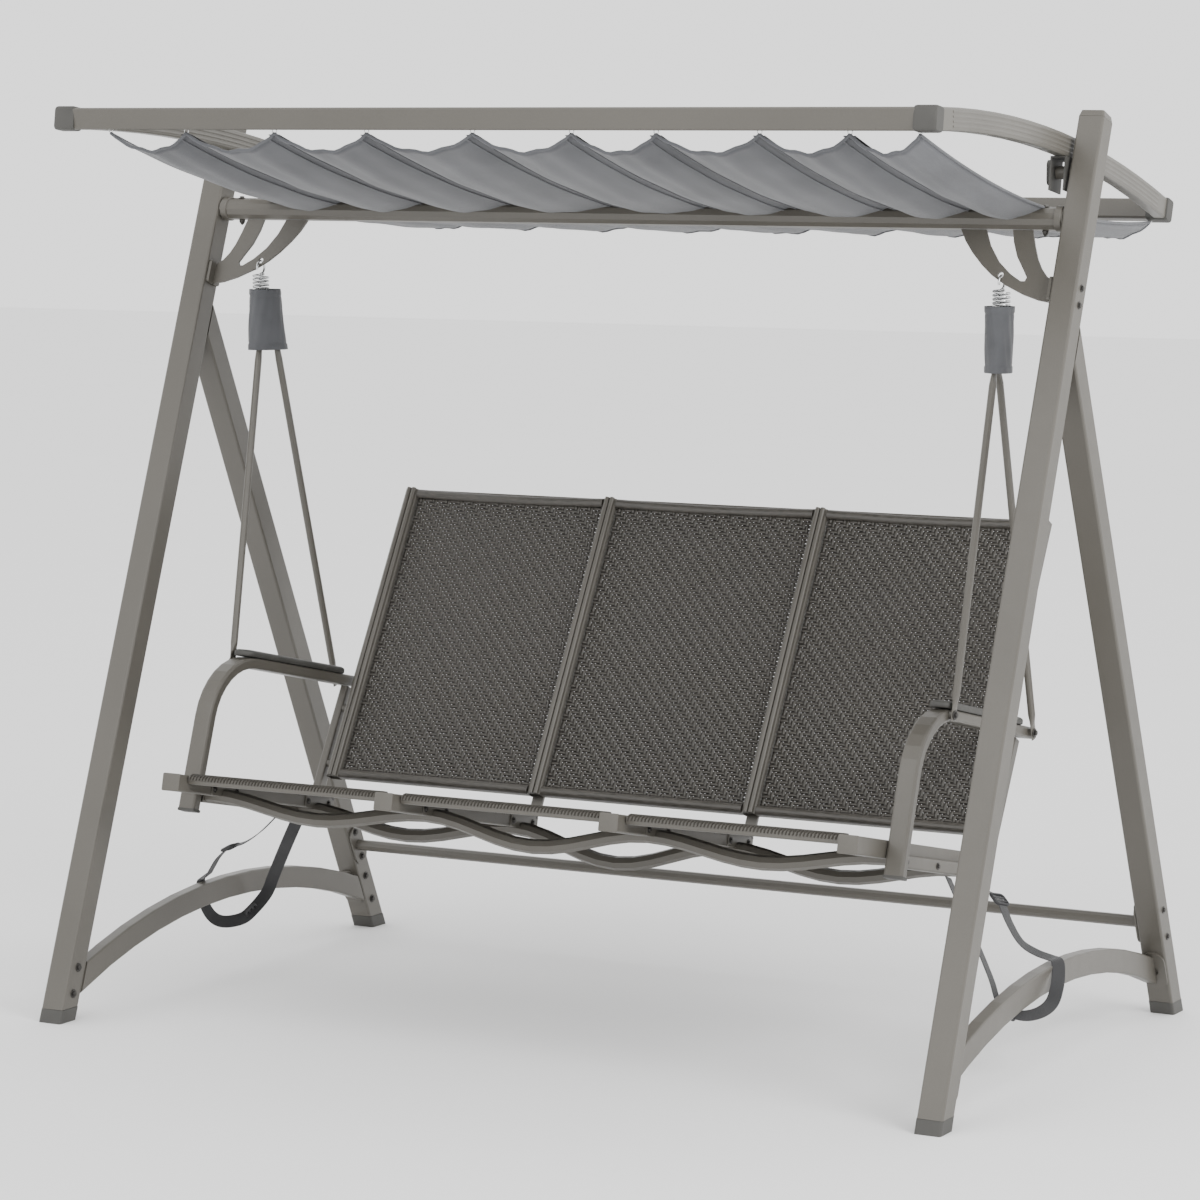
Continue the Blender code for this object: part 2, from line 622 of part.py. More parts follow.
def make_saddle(label, side, materials, parent):
    """The channel under a side rail that turns on the leg's pivot boss."""
    slope = math.atan((rail_height(CANOPY_PIVOT_Y + 0.01) - rail_height(CANOPY_PIVOT_Y - 0.01)) / 0.02)
    top = rail_height(CANOPY_PIVOT_Y) - CANOPY_RAIL_DEPTH / 2 / math.cos(slope) - 2 * CLEARANCE
    width = CANOPY_RAIL_WIDTH + 2 * SADDLE_WALL
    size = (width, SADDLE_LENGTH, SADDLE_DROP)
    name = f"{label}_canopy_saddle"
    saddle = box(name, size, (side * SIDE_RAIL_X, CANOPY_PIVOT_Y, top - SADDLE_DROP / 2))
    hollow_size = (CANOPY_RAIL_WIDTH, SADDLE_LENGTH * 2, SADDLE_DROP)
    hollow_centre = (side * SIDE_RAIL_X, CANOPY_PIVOT_Y, top - SADDLE_DROP / 2 - SADDLE_WALL)
    hollow = box("hollow", hollow_size, hollow_centre)
    turn = Matrix.Rotation(slope, 4, "X")
    middle = Matrix.Translation((0, CANOPY_PIVOT_Y, top))
    for piece in (saddle, hollow):
        piece.data.transform(middle @ turn @ middle.inverted())
    pivot = Vector((side * SIDE_RAIL_X, CANOPY_PIVOT_Y, CANOPY_PIVOT_HEIGHT))
    outward = Vector((side, 0, 0))
    boss_hole = cylinder("boss_hole", PIVOT_RADIUS + CLEARANCE, pivot, pivot + outward * width)
    bolt_hole = cylinder("bolt_hole", KNOB_SHANK_RADIUS + CLEARANCE, pivot - outward * width, pivot)
    subtract(saddle, hollow, boss_hole, bolt_hole)
    attach(finish(saddle, materials["plastic"]), parent)


def subtract(obj, *cutters):
    for cutter in cutters:
        cut = obj.modifiers.new("cut_" + cutter.name, "BOOLEAN")
        cut.operation = "DIFFERENCE"
        cut.solver = "EXACT"
        cut.object = cutter
    bpy.context.view_layer.update()
    mesh = bpy.data.meshes.new_from_object(obj.evaluated_get(bpy.context.evaluated_depsgraph_get()))
    obj.modifiers.clear()
    obj.data = mesh
    for cutter in cutters:
        bpy.data.objects.remove(cutter, do_unlink=True)
    return obj


def make_pivot(label, side, materials):
    """The boss on a leg's inner face that the canopy turns on, and the knob that clamps it."""
    outward = Vector((side, 0, 0))
    leg = Vector((side * (inner_face(CANOPY_PIVOT_HEIGHT) - CLEARANCE * 2), CANOPY_PIVOT_Y, CANOPY_PIVOT_HEIGHT))
    inboard = side * (SIDE_RAIL_X - CANOPY_RAIL_WIDTH / 2 + CLEARANCE)
    tip = Vector((inboard, CANOPY_PIVOT_Y, CANOPY_PIVOT_HEIGHT))
    boss = cylinder(f"{label}_pivot_boss", PIVOT_RADIUS, tip, leg)
    bore = cylinder("bore", KNOB_SHANK_RADIUS + CLEARANCE, tip - outward * 0.01, tip + outward * 0.020)
    finish(subtract(boss, bore), materials["paint"])
    face = tip - outward * (SADDLE_WALL + 2 * CLEARANCE)
    knob = plate(f"{label}_tilt_knob", [rounded_rectangle(KNOB_LENGTH, KNOB_WIDTH, KNOB_WIDTH * 0.48, 4)],
                 KNOB_THICKNESS)
    knob.data.transform(Matrix.Rotation(math.pi / 2, 4, "Y"))
    middle = face - outward * KNOB_THICKNESS / 2
    knob.data.transform(Matrix.Translation(middle))
    shank = cylinder("shank", KNOB_SHANK_RADIUS, middle, tip + outward * 0.018, 16)
    finish(join(knob, shank), materials["plastic"])


def fabric_height(x, y):
    """Lower face of the hung cloth: battens that sag, and a scallop between each two."""
    share = (y - CANOPY_FRONT_Y) / (CANOPY_REAR_Y - CANOPY_FRONT_Y)
    line = CANOPY_FRONT_Z + (CANOPY_REAR_Z - CANOPY_FRONT_Z) * share - CANOPY_RAIL_DEPTH / 3
    bay = FABRIC_WIDTH / FABRIC_BAYS
    wave = abs(math.sin(math.pi * (x - FABRIC_CENTRE + FABRIC_WIDTH / 2) / bay))
    return line - FABRIC_SAG * 4 * share * (1 - share) - FABRIC_SCALLOP * wave * (2 * share - 1) ** 2


def make_fabric(material, parent):
    columns, rows = FABRIC_BAYS * 6, 10
    front = CANOPY_FRONT_Y + CANOPY_RAIL_WIDTH / 2 + 0.0005
    rear = CANOPY_REAR_Y - CANOPY_RAIL_WIDTH / 2 - 0.0055
    bpy.ops.mesh.primitive_grid_add(x_subdivisions=columns, y_subdivisions=rows, size=1.0)
    cloth = bpy.context.object
    cloth.name = "canopy_fabric"
    for vertex in cloth.data.vertices:
        x = FABRIC_CENTRE + vertex.co.x * FABRIC_WIDTH
        y = front + (vertex.co.y + 0.5) * (rear - front)
        vertex.co = (x, y, fabric_height(x, y))
    solid = cloth.modifiers.new("thickness", "SOLIDIFY")
    solid.thickness = FABRIC_THICKNESS
    solid.offset = 1
    attach(finish(cloth, material), parent)


def make_canopy(materials):
    pivot = Matrix.Translation((0, CANOPY_PIVOT_Y, CANOPY_PIVOT_HEIGHT))
    parent = empty("canopy_axis", pivot)
    bpy.context.view_layer.update()
    paint = materials["paint"]
    lift = math.atan2(4 * CANOPY_RISE, CANOPY_LENGTH)
    make_cross_rail("canopy_front_rail", CANOPY_FRONT_Y, CANOPY_FRONT_Z, CANOPY_SLOPE + lift, paint, parent)
    make_cross_rail("canopy_rear_rail", CANOPY_REAR_Y, CANOPY_REAR_Z, CANOPY_SLOPE - lift, paint, parent)
    make_side_rails(paint, parent)
    make_fabric(materials["fabric"], parent)
    for label, side in SIDES:
        make_saddle(label, side, materials, parent)
        make_pivot(label, side, materials)


# ---------------------------------------------------------------- the hanging seat
def seat_point(x, u, w):
    """World place of a point given along and over the seat rails."""
    y = SEAT_FRONT_Y + u * math.cos(SEAT_TILT) + w * math.sin(SEAT_TILT)
    z = SEAT_FRONT_Z - u * math.sin(SEAT_TILT) + w * math.cos(SEAT_TILT)
    return Vector((x, y, z))


SEAT_MATRIX = Matrix.Translation((0, SEAT_FRONT_Y, SEAT_FRONT_Z)) @ Matrix.Rotation(-SEAT_TILT, 4, "X")
BACK_MATRIX = (
    SEAT_MATRIX
    @ Matrix.Translation((0, BACK_START_U, BACK_START_W))
    @ Matrix.Rotation(-BACK_RECLINE, 4, "X")
)
RAIL_PLACES = [SEAT_RAIL_PITCH * (k - 1.5) for k in range(4)]
HOOK_HEIGHT = BEAM_HEIGHT - HOOK_DROP * math.cos(FRONT_LEG_ANGLE)
HOOK_Y = BEAM_Y - HOOK_DROP * math.sin(FRONT_LEG_ANGLE)
COIL_TOP = HOOK_HEIGHT - 2 * HOOK_RADIUS
COIL_LENGTH = SPRING_TURNS * SPRING_PITCH
YOKE_HOLE_Z = COIL_TOP - COIL_LENGTH - 2 * HOOK_RADIUS
ROD_TOP_Z = YOKE_HOLE_Z - 0.026


def make_seat_rails(material, parent):
    """The four rails, each notched from below where the two wavy tubes pass."""
    for number, x in enumerate(RAIL_PLACES, 1):
        rail = bar(f"seat_rail_{number}", SEAT_RAIL_WIDTH, SEAT_RAIL_DEPTH, SEAT_RAIL_LENGTH, TUBE_WALL)
        rail.data.transform(Matrix.Rotation(-math.pi / 2, 4, "X"))
        rail.data.transform(Matrix.Translation((x, 0, -SEAT_RAIL_DEPTH / 2)))
        cutters = [round_tube("notch_" + name, wave_path(name), WAVE_RADIUS + CLEARANCE) for name in WAVE_TUBES]
        finish(subtract(rail, *cutters), material, parent)


def make_seat_panels(material, parent):
    gap = SEAT_RAIL_PITCH - SEAT_RAIL_WIDTH - 2 * CLEARANCE
    length = SEAT_RAIL_LENGTH - SEAT_PANEL_FRONT
    for number in range(3):
        x = (RAIL_PLACES[number] + RAIL_PLACES[number + 1]) / 2
        centre = (x, SEAT_PANEL_FRONT + length / 2, -SEAT_PANEL_THICKNESS / 2)
        panel = box(f"seat_panel_{number + 1}", (gap, length, SEAT_PANEL_THICKNESS), centre)
        finish(panel, material, parent)


def back_post_places():
    outer = (BACK_WIDTH - BACK_POST_WIDTH) / 2
    return [-outer, RAIL_PLACES[1], RAIL_PLACES[2], outer]


def make_back(materials, parent):
    """Four posts welded between a bottom bar and a top bar, and the three panels between them."""
    posts = []
    places = back_post_places()
    for number, x in enumerate(places):
        post = bar(f"post_{number}", BACK_POST_WIDTH, BACK_POST_DEPTH, BACK_LENGTH, TUBE_WALL)
        post.data.transform(Matrix.Translation((x, BACK_POST_DEPTH / 2, 0)))
        posts.append(post)
    bars = []
    for k in range(3):
        start = places[k] + BACK_POST_WIDTH / 2
        end = places[k + 1] - BACK_POST_WIDTH / 2
        for z in (BACK_BAR_WIDTH / 2, BACK_LENGTH - BACK_BAR_WIDTH / 2):
            size = (end - start + TUBE_WALL, BACK_POST_DEPTH * 0.6, BACK_BAR_WIDTH)
            bars.append(box(f"bar_{k}_{z:.2f}", size, ((start + end) / 2, BACK_POST_DEPTH / 2, z)))
    spacer = ARM_BASE_CENTRE - ARM_BASE_WIDTH / 2 - CLEARANCE - BACK_WIDTH / 2
    spacers = []
    for label, side in SIDES:
        edge = BACK_WIDTH / 2 - TUBE_WALL / 2
        for z in (0.03, 0.15):
            start = Vector((side * edge, BACK_POST_DEPTH / 2, z))
            end = Vector((side * (BACK_WIDTH / 2 + spacer), BACK_POST_DEPTH / 2, z))
            spacers.append(cylinder(f"spacer_{label}_{z}", 0.008, start, end, 12))
    feet = []
    for k in (1, 2):
        foot = box(f"foot_{k}", (BACK_POST_WIDTH - 0.006, 0.006, BACK_FOOT_LENGTH),
                   (places[k], BACK_POST_DEPTH + 0.0025, -BACK_FOOT_LENGTH / 2 + 0.020))
        feet.append(foot)
    frame = join(posts[0], *posts[1:], *bars, *spacers, *feet)
    frame.name = "back_frame"
    finish(frame, materials["paint"], parent)
    for k in range(3):
        width = places[k + 1] - places[k] - BACK_POST_WIDTH - 2 * CLEARANCE
        height = BACK_LENGTH - 2 * BACK_BAR_WIDTH - 2 * CLEARANCE
        centre = ((places[k] + places[k + 1]) / 2, BACK_POST_DEPTH / 2, BACK_LENGTH / 2)
        panel = box(f"back_panel_{k + 1}", (width, BACK_PANEL_THICKNESS, height), centre)
        finish(panel, materials["weave"], parent)


def arm_path():
    """Centre line of an arm in (u, w): up from its foot, round the bend and back along the rest."""
    middle = (ARM_LEG_U + ARM_BEND, ARM_TOP_W - ARM_BEND)
    bend = arc(middle, ARM_BEND, 180 - ARM_LEG_LEAN, 90, 8)
    run = (bend[0][1] - ARM_FOOT_W) * math.tan(math.radians(ARM_LEG_LEAN))
    return [(bend[0][0] - run, ARM_FOOT_W), *bend, (ARM_END_U, ARM_TOP_W)]


def arm_base_path():
    """Centre line of the tube from an arm's foot back along the seat and up to the rest."""
    foot, knee = arm_path()[:2]
    height = ARM_BASE_W + ARM_BASE_DEPTH / 2
    face = foot[0] + (knee[0] - foot[0]) * (height - foot[1]) / (knee[1] - foot[1])
    start = (face + ARM_DEPTH / 2 / math.cos(math.radians(ARM_LEG_LEAN)) + CLEARANCE, ARM_BASE_W)
    slope = math.tan(BACK_RECLINE)
    top = ARM_TOP_W - ARM_DEPTH / 2 - CLEARANCE - ARM_BASE_DEPTH / 2 * slope
    corner = Vector((ARM_POST_U + slope * ARM_BASE_W, ARM_BASE_W))
    radius = 0.040
    turn = math.pi / 2 - BACK_RECLINE
    inset = radius * math.tan(turn / 2)
    centre = (corner.x - inset, ARM_BASE_W + radius)
    bend = arc(centre, radius, -90, -90 + math.degrees(turn), 5)
    return [start, *bend, (ARM_POST_U + slope * top, top)]


def make_arms(materials, parent):
    for label, side in SIDES:
        x = side * ARM_CENTRE
        arm = bent_tube(f"{label}_arm", arm_path(), ARM_WIDTH, ARM_DEPTH, TUBE_WALL, 0.005)
        arm.data.transform(Matrix.Translation((x, 0, 0)))
        finish(arm, materials["paint"], parent)
        section = (ARM_BASE_WIDTH, ARM_BASE_DEPTH, TUBE_WALL, 0.004)
        base = bent_tube(f"{label}_arm_base", arm_base_path(), *section)
        base.data.transform(Matrix.Translation((side * ARM_BASE_CENTRE, 0, 0)))
        finish(base, materials["paint"], parent)
        length = ARM_PAD_END_U - ARM_PAD_START_U
        pad = bar(f"{label}_arm_pad", ARM_PAD_WIDTH, ARM_PAD_THICKNESS, length, corner=0.005)
        pad.data.transform(Matrix.Rotation(-math.pi / 2, 4, "X"))
        rest = ARM_TOP_W + ARM_DEPTH / 2 + CLEARANCE + ARM_PAD_THICKNESS / 2
        pad.data.transform(Matrix.Translation((x, ARM_PAD_START_U, rest)))
        finish(pad, materials["plastic"], parent)


def wave_path(name):
    """Centre line of a wavy tube: a crest at each rail and a trough under each panel."""
    u, crest, outer_fall, middle_fall = WAVE_TUBES[name]
    half = ARM_BASE_CENTRE - ARM_BASE_WIDTH / 2 - 2 * CLEARANCE
    steps = [RAIL_PLACES[0] + SEAT_RAIL_PITCH * k / 12 for k in range(37)]
    points = []
    for x in [-half, *steps, half]:
        phase = 2 * math.pi * (x - RAIL_PLACES[0]) / SEAT_RAIL_PITCH
        fall = middle_fall if abs(x) < SEAT_RAIL_PITCH / 2 else outer_fall
        points.append((x, u, crest - fall * (1 - math.cos(phase))))
    return points


def make_wave_tubes(material, parent):
    """The two wavy tubes under the seat, between the arm bases."""
    for name in WAVE_TUBES:
        finish(round_tube(name, wave_path(name), WAVE_RADIUS, TUBE_WALL, sides=2), material, parent)


def spring_path(side):
    """Hook in the YZ plane, coil, then a hook in the XZ plane, in world places."""
    x, y = side * HANGER_X, HOOK_Y
    points = []
    for k in range(11):
        a = math.radians(-110 + 290 * k / 10)
        points.append((x, y + HOOK_RADIUS * math.sin(a), HOOK_HEIGHT - HOOK_RADIUS + HOOK_RADIUS * math.cos(a)))
    steps = 12
    total = SPRING_TURNS * steps
    for k in range(1, total):
        a = 2 * math.pi * k / steps
        reach = SPRING_RADIUS * min(1.0, k / 5, (total - k) / 5)
        z = COIL_TOP - COIL_LENGTH * k / total
        points.append((x + reach * math.cos(a), y + reach * math.sin(a), z))
    low = COIL_TOP - COIL_LENGTH - HOOK_RADIUS
    for k in range(11):
        a = math.radians(290 * k / 10)
        points.append((x + HOOK_RADIUS * math.sin(a), y, low + HOOK_RADIUS * math.cos(a)))
    return points


def make_rod(name, start, end, material):
    """A rod whose ends are flattened into upright tabs, thin along X."""
    start, end = Vector(start), Vector(end)
    length = (end - start).length
    tab, taper, sides = 0.026, 0.022, 12
    flat = (ROD_TAB_THICKNESS / 2, ROD_TAB_WIDTH / 2)
    plain = (ROD_RADIUS, ROD_RADIUS)
    stages = [(0.0, flat), (tab, flat), (tab + taper, plain)]
    stages += [(length - height, half) for height, half in reversed(stages)]
    work = bmesh.new()
    rings = []
    for height, half in stages:
        turns = [2 * math.pi * k / sides for k in range(sides)]
        rings.append([work.verts.new((half[0] * math.cos(a), half[1] * math.sin(a), height)) for a in turns])
    for low, high in zip(rings, rings[1:]):
        for k in range(sides):
            work.faces.new((low[k - 1], low[k], high[k], high[k - 1]))
    work.faces.new(reversed(rings[0]))
    work.faces.new(rings[-1])
    mesh = bpy.data.meshes.new(name)
    work.to_mesh(mesh)
    work.free()
    made = bpy.data.objects.new(name, mesh)
    bpy.context.scene.collection.objects.link(made)
    axis = (end - start).normalized()
    across = Vector((1, 0, 0))
    across = (across - axis * across.dot(axis)).normalized()
    turn = Matrix((across, axis.cross(across), axis)).transposed().to_4x4()
    return finish(made, material, None, Matrix.Translation(start - axis * 0.012) @ turn)


def make_hangers(materials):
    for label, side in SIDES:
        spring = round_tube(f"{label}_spring", spring_path(side), SPRING_WIRE, sides=1)
        finish(spring, materials["zinc"])
        spread = ROD_TOP_SPREAD / 2
        low = ROD_TOP_Z - YOKE_HOLE_Z
        back = ROD_TOP_SHIFT + spread + 0.008
        ahead = ROD_TOP_SHIFT - spread - 0.010
        outline = [(-0.010, 0.010), (0.010, 0.010), (back, low + 0.004), (back, low - 0.009),
                   (ahead, low - 0.009), (ahead, low + 0.004)]
        yoke = plate(f"{label}_yoke", [outline, circle(HOOK_HOLE_RADIUS, 12)], YOKE_THICKNESS)
        stand = Matrix(((0, 0, 1, side * HANGER_X), (1, 0, 0, HOOK_Y), (0, 1, 0, YOKE_HOLE_Z), (0, 0, 0, 1)))
        yoke.data.transform(stand)
        finish(yoke, materials["zinc"])
        yoke_face = HANGER_X - YOKE_THICKNESS / 2 - CLEARANCE
        arm_face = side * (ARM_CENTRE + ARM_WIDTH / 2 + CLEARANCE)
        foot_x = side * (ARM_CENTRE + ARM_PAD_WIDTH / 2 + ROD_TAB_THICKNESS / 2 + 0.003)
        for word, u, sign, inset in (("front", FRONT_ROD_U, -1, 0), ("rear", REAR_ROD_U, 1, REAR_ROD_INSET)):
            foot = seat_point(foot_x, u, ARM_TOP_W)
            top_x = side * (yoke_face - inset - ROD_TAB_THICKNESS / 2)
            top = Vector((top_x, HOOK_Y + ROD_TOP_SHIFT + sign * spread, ROD_TOP_Z))
            reach = (top - foot).normalized() * 0.009
            rod = make_rod(f"{label}_{word}_rod", foot, top + reach, materials["paint"])
            bpy.context.view_layer.update()
            spacer = cylinder("spacer", 0.008, (arm_face, foot.y, foot.z), (foot.x, foot.y, foot.z), 16)
            place = rod.matrix_world.copy()
            rod.data.transform(place)
            rod.matrix_world = Matrix()
            spacers = [spacer]
            if inset:
                near = (side * yoke_face, top.y, top.z)
                spacers.append(cylinder("yoke_spacer", 0.006, near, (top_x, top.y, top.z), 16))
            finish(join(rod, *spacers), materials["paint"])
        make_sleeve(label, side, materials["fabric"])


def make_sleeve(label, side, material):
    """The oval cloth sleeve round a spring and the rods' upper ends, open at both ends."""
    sides = 20
    top = HOOK_HEIGHT - 0.056
    work = bmesh.new()
    rings = []
    for z, size, shift in ((top - SLEEVE_LENGTH, SLEEVE_FOOT, SLEEVE_FOOT_SHIFT), (top, SLEEVE_TOP, SLEEVE_TOP_SHIFT)):
        ring = []
        for k in range(sides):
            a = 2 * math.pi * k / sides
            across, along = size[0] / 2 * math.cos(a), size[1] / 2 * math.sin(a)
            x = HANGER_X + shift[0] + across * math.cos(SLEEVE_TURN) - along * math.sin(SLEEVE_TURN)
            y = HOOK_Y + shift[1] + across * math.sin(SLEEVE_TURN) + along * math.cos(SLEEVE_TURN)
            ring.append(work.verts.new((side * x, y, z)))
        rings.append(ring)
    for k in range(sides):
        face = work.faces.new((rings[0][k - 1], rings[0][k], rings[1][k], rings[1][k - 1]))
        if side < 0:
            face.normal_flip()
    mesh = bpy.data.meshes.new(f"{label}_spring_sleeve")
    work.to_mesh(mesh)
    work.free()
    sleeve = bpy.data.objects.new(mesh.name, mesh)
    bpy.context.scene.collection.objects.link(sleeve)
    thicken(sleeve, SLEEVE_WALL)
    finish(sleeve, material)


def make_straps(material):
    """Loose webbing loops between the arm bases and the stretchers."""
    for label, side in SIDES:
        points = [(side * x, y, z) for x, y, z in STRAP_ROUTES[label]]
        finish(round_tube(f"{label}_strap", smooth_route(points, 3), STRAP_RADIUS, sides=1), material)


def make_seat(materials):
    seat = empty("seat_datum", SEAT_MATRIX)
    back = empty("back_datum", BACK_MATRIX)
    make_seat_rails(materials["paint"], seat)
    make_seat_panels(materials["weave"], seat)
    make_back(materials, back)
    make_arms(materials, seat)
    make_wave_tubes(materials["paint"], seat)
    make_hangers(materials)
    make_straps(materials["webbing"])


def main():
    clear_scene()
    materials = make_materials()
    make_stand(materials)
    make_canopy(materials)
    make_seat(materials)


main()
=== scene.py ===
# %% [markdown]
# A garden glider swing: a steel stand, a woven hanging seat on two springs and a cloth canopy.
# The jointed solids are loaded first and never moved. Everything soft, woven or small is then
# built round them, in the same metres, and most pieces ride the body that carries them.

import json
import math

import bpy
import numpy as np
from mathutils import Matrix, Vector


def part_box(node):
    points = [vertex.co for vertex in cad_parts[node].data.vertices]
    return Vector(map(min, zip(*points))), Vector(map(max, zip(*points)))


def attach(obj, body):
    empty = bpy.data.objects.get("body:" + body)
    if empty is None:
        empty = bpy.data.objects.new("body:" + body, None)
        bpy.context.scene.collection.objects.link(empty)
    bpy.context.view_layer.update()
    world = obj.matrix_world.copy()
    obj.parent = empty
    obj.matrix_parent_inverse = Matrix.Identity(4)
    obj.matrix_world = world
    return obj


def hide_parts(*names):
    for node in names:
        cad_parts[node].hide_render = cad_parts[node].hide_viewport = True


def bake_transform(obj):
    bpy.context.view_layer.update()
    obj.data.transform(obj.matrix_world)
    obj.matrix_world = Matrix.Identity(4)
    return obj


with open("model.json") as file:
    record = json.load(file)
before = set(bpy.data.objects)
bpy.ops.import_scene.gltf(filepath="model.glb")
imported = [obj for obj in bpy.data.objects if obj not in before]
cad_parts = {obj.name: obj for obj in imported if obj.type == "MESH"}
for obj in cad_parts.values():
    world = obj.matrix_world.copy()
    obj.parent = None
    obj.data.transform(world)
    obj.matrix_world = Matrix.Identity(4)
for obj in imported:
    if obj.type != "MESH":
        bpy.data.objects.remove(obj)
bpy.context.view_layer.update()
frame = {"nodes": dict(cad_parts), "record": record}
SIDES = (("left", -1), ("right", 1))

# %% [markdown]
# The camera stands ahead of the seat and to its right, at standing eye height, with a long lens so
# that the legs stay nearly parallel. Its angles are turned into axes by hand, which keeps the
# small roll apart from the heading.

# %% Camera
EYE = Vector((3.6271, -6.3921, 1.6239))
HEADING, PITCH, ROLL = math.radians(26.212), math.radians(5.789), math.radians(0.411)


def make_camera():
    level_share = math.cos(PITCH)
    ahead = Vector((-math.sin(HEADING) * level_share, math.cos(HEADING) * level_share, -math.sin(PITCH)))
    level = Vector((math.cos(HEADING), math.sin(HEADING), 0))
    upright = level.cross(ahead)
    right = level * math.cos(ROLL) + upright * math.sin(ROLL)
    up = upright * math.cos(ROLL) - level * math.sin(ROLL)
    data = bpy.data.cameras.new("camera")
    data.sensor_width, data.lens = 36, 115.635
    data.shift_x, data.shift_y = -0.2030, -0.02886
    camera = bpy.data.objects.new("camera", data)
    bpy.context.scene.collection.objects.link(camera)
    turn = Matrix((right, up, -ahead)).transposed().to_4x4()
    camera.matrix_world = Matrix.Translation(EYE) @ turn
    bpy.context.scene.camera = camera
    return camera


make_camera()
print("camera", [round(v, 3) for v in EYE])


# %% [markdown]
# Shader maths reads best as plain expressions. A Wire holds one output of a node, and adding or
# multiplying Wires adds the Math nodes. A Finish is one material: its node method makes any other
# node, sets what has to be set first, then fills or links the sockets.

# %% Shader helpers
class Wire:
    def __init__(self, tree, socket):
        self.tree, self.socket = tree, socket

    def maths(self, operation, first, second):
        node = self.tree.nodes.new("ShaderNodeMath")
        node.operation = operation
        for socket, value in zip(node.inputs, (first, second)):
            put(self.tree, socket, value)
        return Wire(self.tree, node.outputs[0])

    def __add__(self, other):
        return self.maths("ADD", self, other)

    def __radd__(self, other):
        return self.maths("ADD", other, self)

    def __sub__(self, other):
        return self.maths("SUBTRACT", self, other)

    def __rsub__(self, other):
        return self.maths("SUBTRACT", other, self)

    def __mul__(self, other):
        return self.maths("MULTIPLY", self, other)

    def __rmul__(self, other):
        return self.maths("MULTIPLY", other, self)


def put(tree, socket, value):
    """Links a Wire to a socket, or sets its value."""
    if isinstance(value, Wire):
        tree.links.new(value.socket, socket)
    elif isinstance(value, tuple) and len(value) == 3 and socket.type == "RGBA":
        socket.default_value = (*value, 1.0)
    else:
        socket.default_value = value


class Finish:
    def __init__(self, name, **fixed):
        self.material = bpy.data.materials.new(name)
        self.material.use_nodes = True
        self.tree = self.material.node_tree
        self.shader = self.tree.nodes["Principled BSDF"]
        self.place = self.node("ShaderNodeTexCoord", output="Object")
        self.set(**fixed)

    def node(self, kind, settings=None, values=None, output=0):
        node = self.tree.nodes.new(kind)
        for name, value in (settings or {}).items():
            setattr(node, name, value)
        for name, value in (values or {}).items():
            put(self.tree, node.inputs[name], value)
        return Wire(self.tree, node.outputs[output])

    def set(self, **sockets):
        """Fills the main shader's sockets, whose names are written here in lower case."""
        named = {socket.name.lower().replace(" ", "_"): socket for socket in self.shader.inputs}
        for name, value in sockets.items():
            put(self.tree, named[name], value)

    def noise(self, scale, detail=3.0, stretch=None, roughness=0.5):
        """Even noise over the piece; stretch squeezes it along an axis."""
        place = self.place
        if stretch:
            place = self.node("ShaderNodeMapping", values={"Vector": place, "Scale": stretch})
        values = {"Vector": place, "Scale": scale, "Detail": detail, "Roughness": roughness}
        return self.node("ShaderNodeTexNoise", values=values)

    def wave(self, scale, axis, distortion=0.0):
        settings = {"wave_type": "BANDS", "bands_direction": axis, "wave_profile": "SIN"}
        values = {"Vector": self.place, "Scale": scale, "Distortion": distortion}
        return self.node("ShaderNodeTexWave", settings, values, "Fac")

    def blend(self, share, first, second):
        """Colour between two colours."""
        settings = {"data_type": "RGBA"}
        values = {0: share, 6: first, 7: second}
        return self.node("ShaderNodeMix", settings, values, 2)

    def band(self, value, low, high, start=0.0, end=1.0):
        values = {"Value": value, "From Min": low, "From Max": high, "To Min": start, "To Max": end}
        return self.node("ShaderNodeMapRange", values=values)

    def bump(self, height, strength, distance):
        values = {"Height": height, "Strength": strength, "Distance": distance}
        self.set(normal=self.node("ShaderNodeBump", values=values))


# %% [markdown]
# The stand, the rails and the seat tubes share one finish: a warm grey powder coat. It is satin, with a
# faint orange-peel surface and a slow drift in tone. Two noises do that, a broad one
# for colour and a fine one for the surface.

# %% Powder coat
def powder_coat():
    paint = Finish("powder_coat", metallic=0.0, coat_weight=0.12, coat_roughness=0.3)
    drift = paint.band(paint.noise(3.0, 4.0), 0.3, 0.7)
    speck = paint.band(paint.noise(900.0, 2.0), 0.35, 0.65)
    colour = paint.blend(drift, (0.070, 0.064, 0.053), (0.088, 0.081, 0.068))
    paint.set(base_color=paint.blend(speck * 0.35, colour, (0.115, 0.107, 0.092)))
    paint.set(roughness=0.36 + paint.noise(40.0) * 0.12)
    paint.bump(speck + 0.4 * paint.noise(220.0, 2.0), 0.12, 0.0006)
    return paint.material


def lit_grooved_coat():
    """The same coat over the long grooves pressed in the canopy's side rails, in a lighter colour that is
    painted light.
    """
    paint = Finish("grooved_powder_coat", metallic=0.0, coat_weight=0.12)
    drift = paint.band(paint.noise(4.0, 4.0), 0.3, 0.7)
    # A lighter copy of the powder coat's colour: painted light on the canopy's side rails.
    paint.set(base_color=paint.blend(drift, (0.090, 0.084, 0.071), (0.115, 0.108, 0.093)))
    paint.set(roughness=0.34 + paint.noise(40.0) * 0.12)
    paint.bump(paint.noise(300.0, 2.0), 0.10, 0.0005)
    return paint.material


POWDER, LIT_GROOVED = powder_coat(), lit_grooved_coat()
print("coats:", POWDER.name, LIT_GROOVED.name)


# %% [markdown]
# Caps, feet, knobs and arm pads are moulded plastic with a fine spark texture. Springs, hooks and
# yokes are bright zinc, and the screws are dark from their coating.

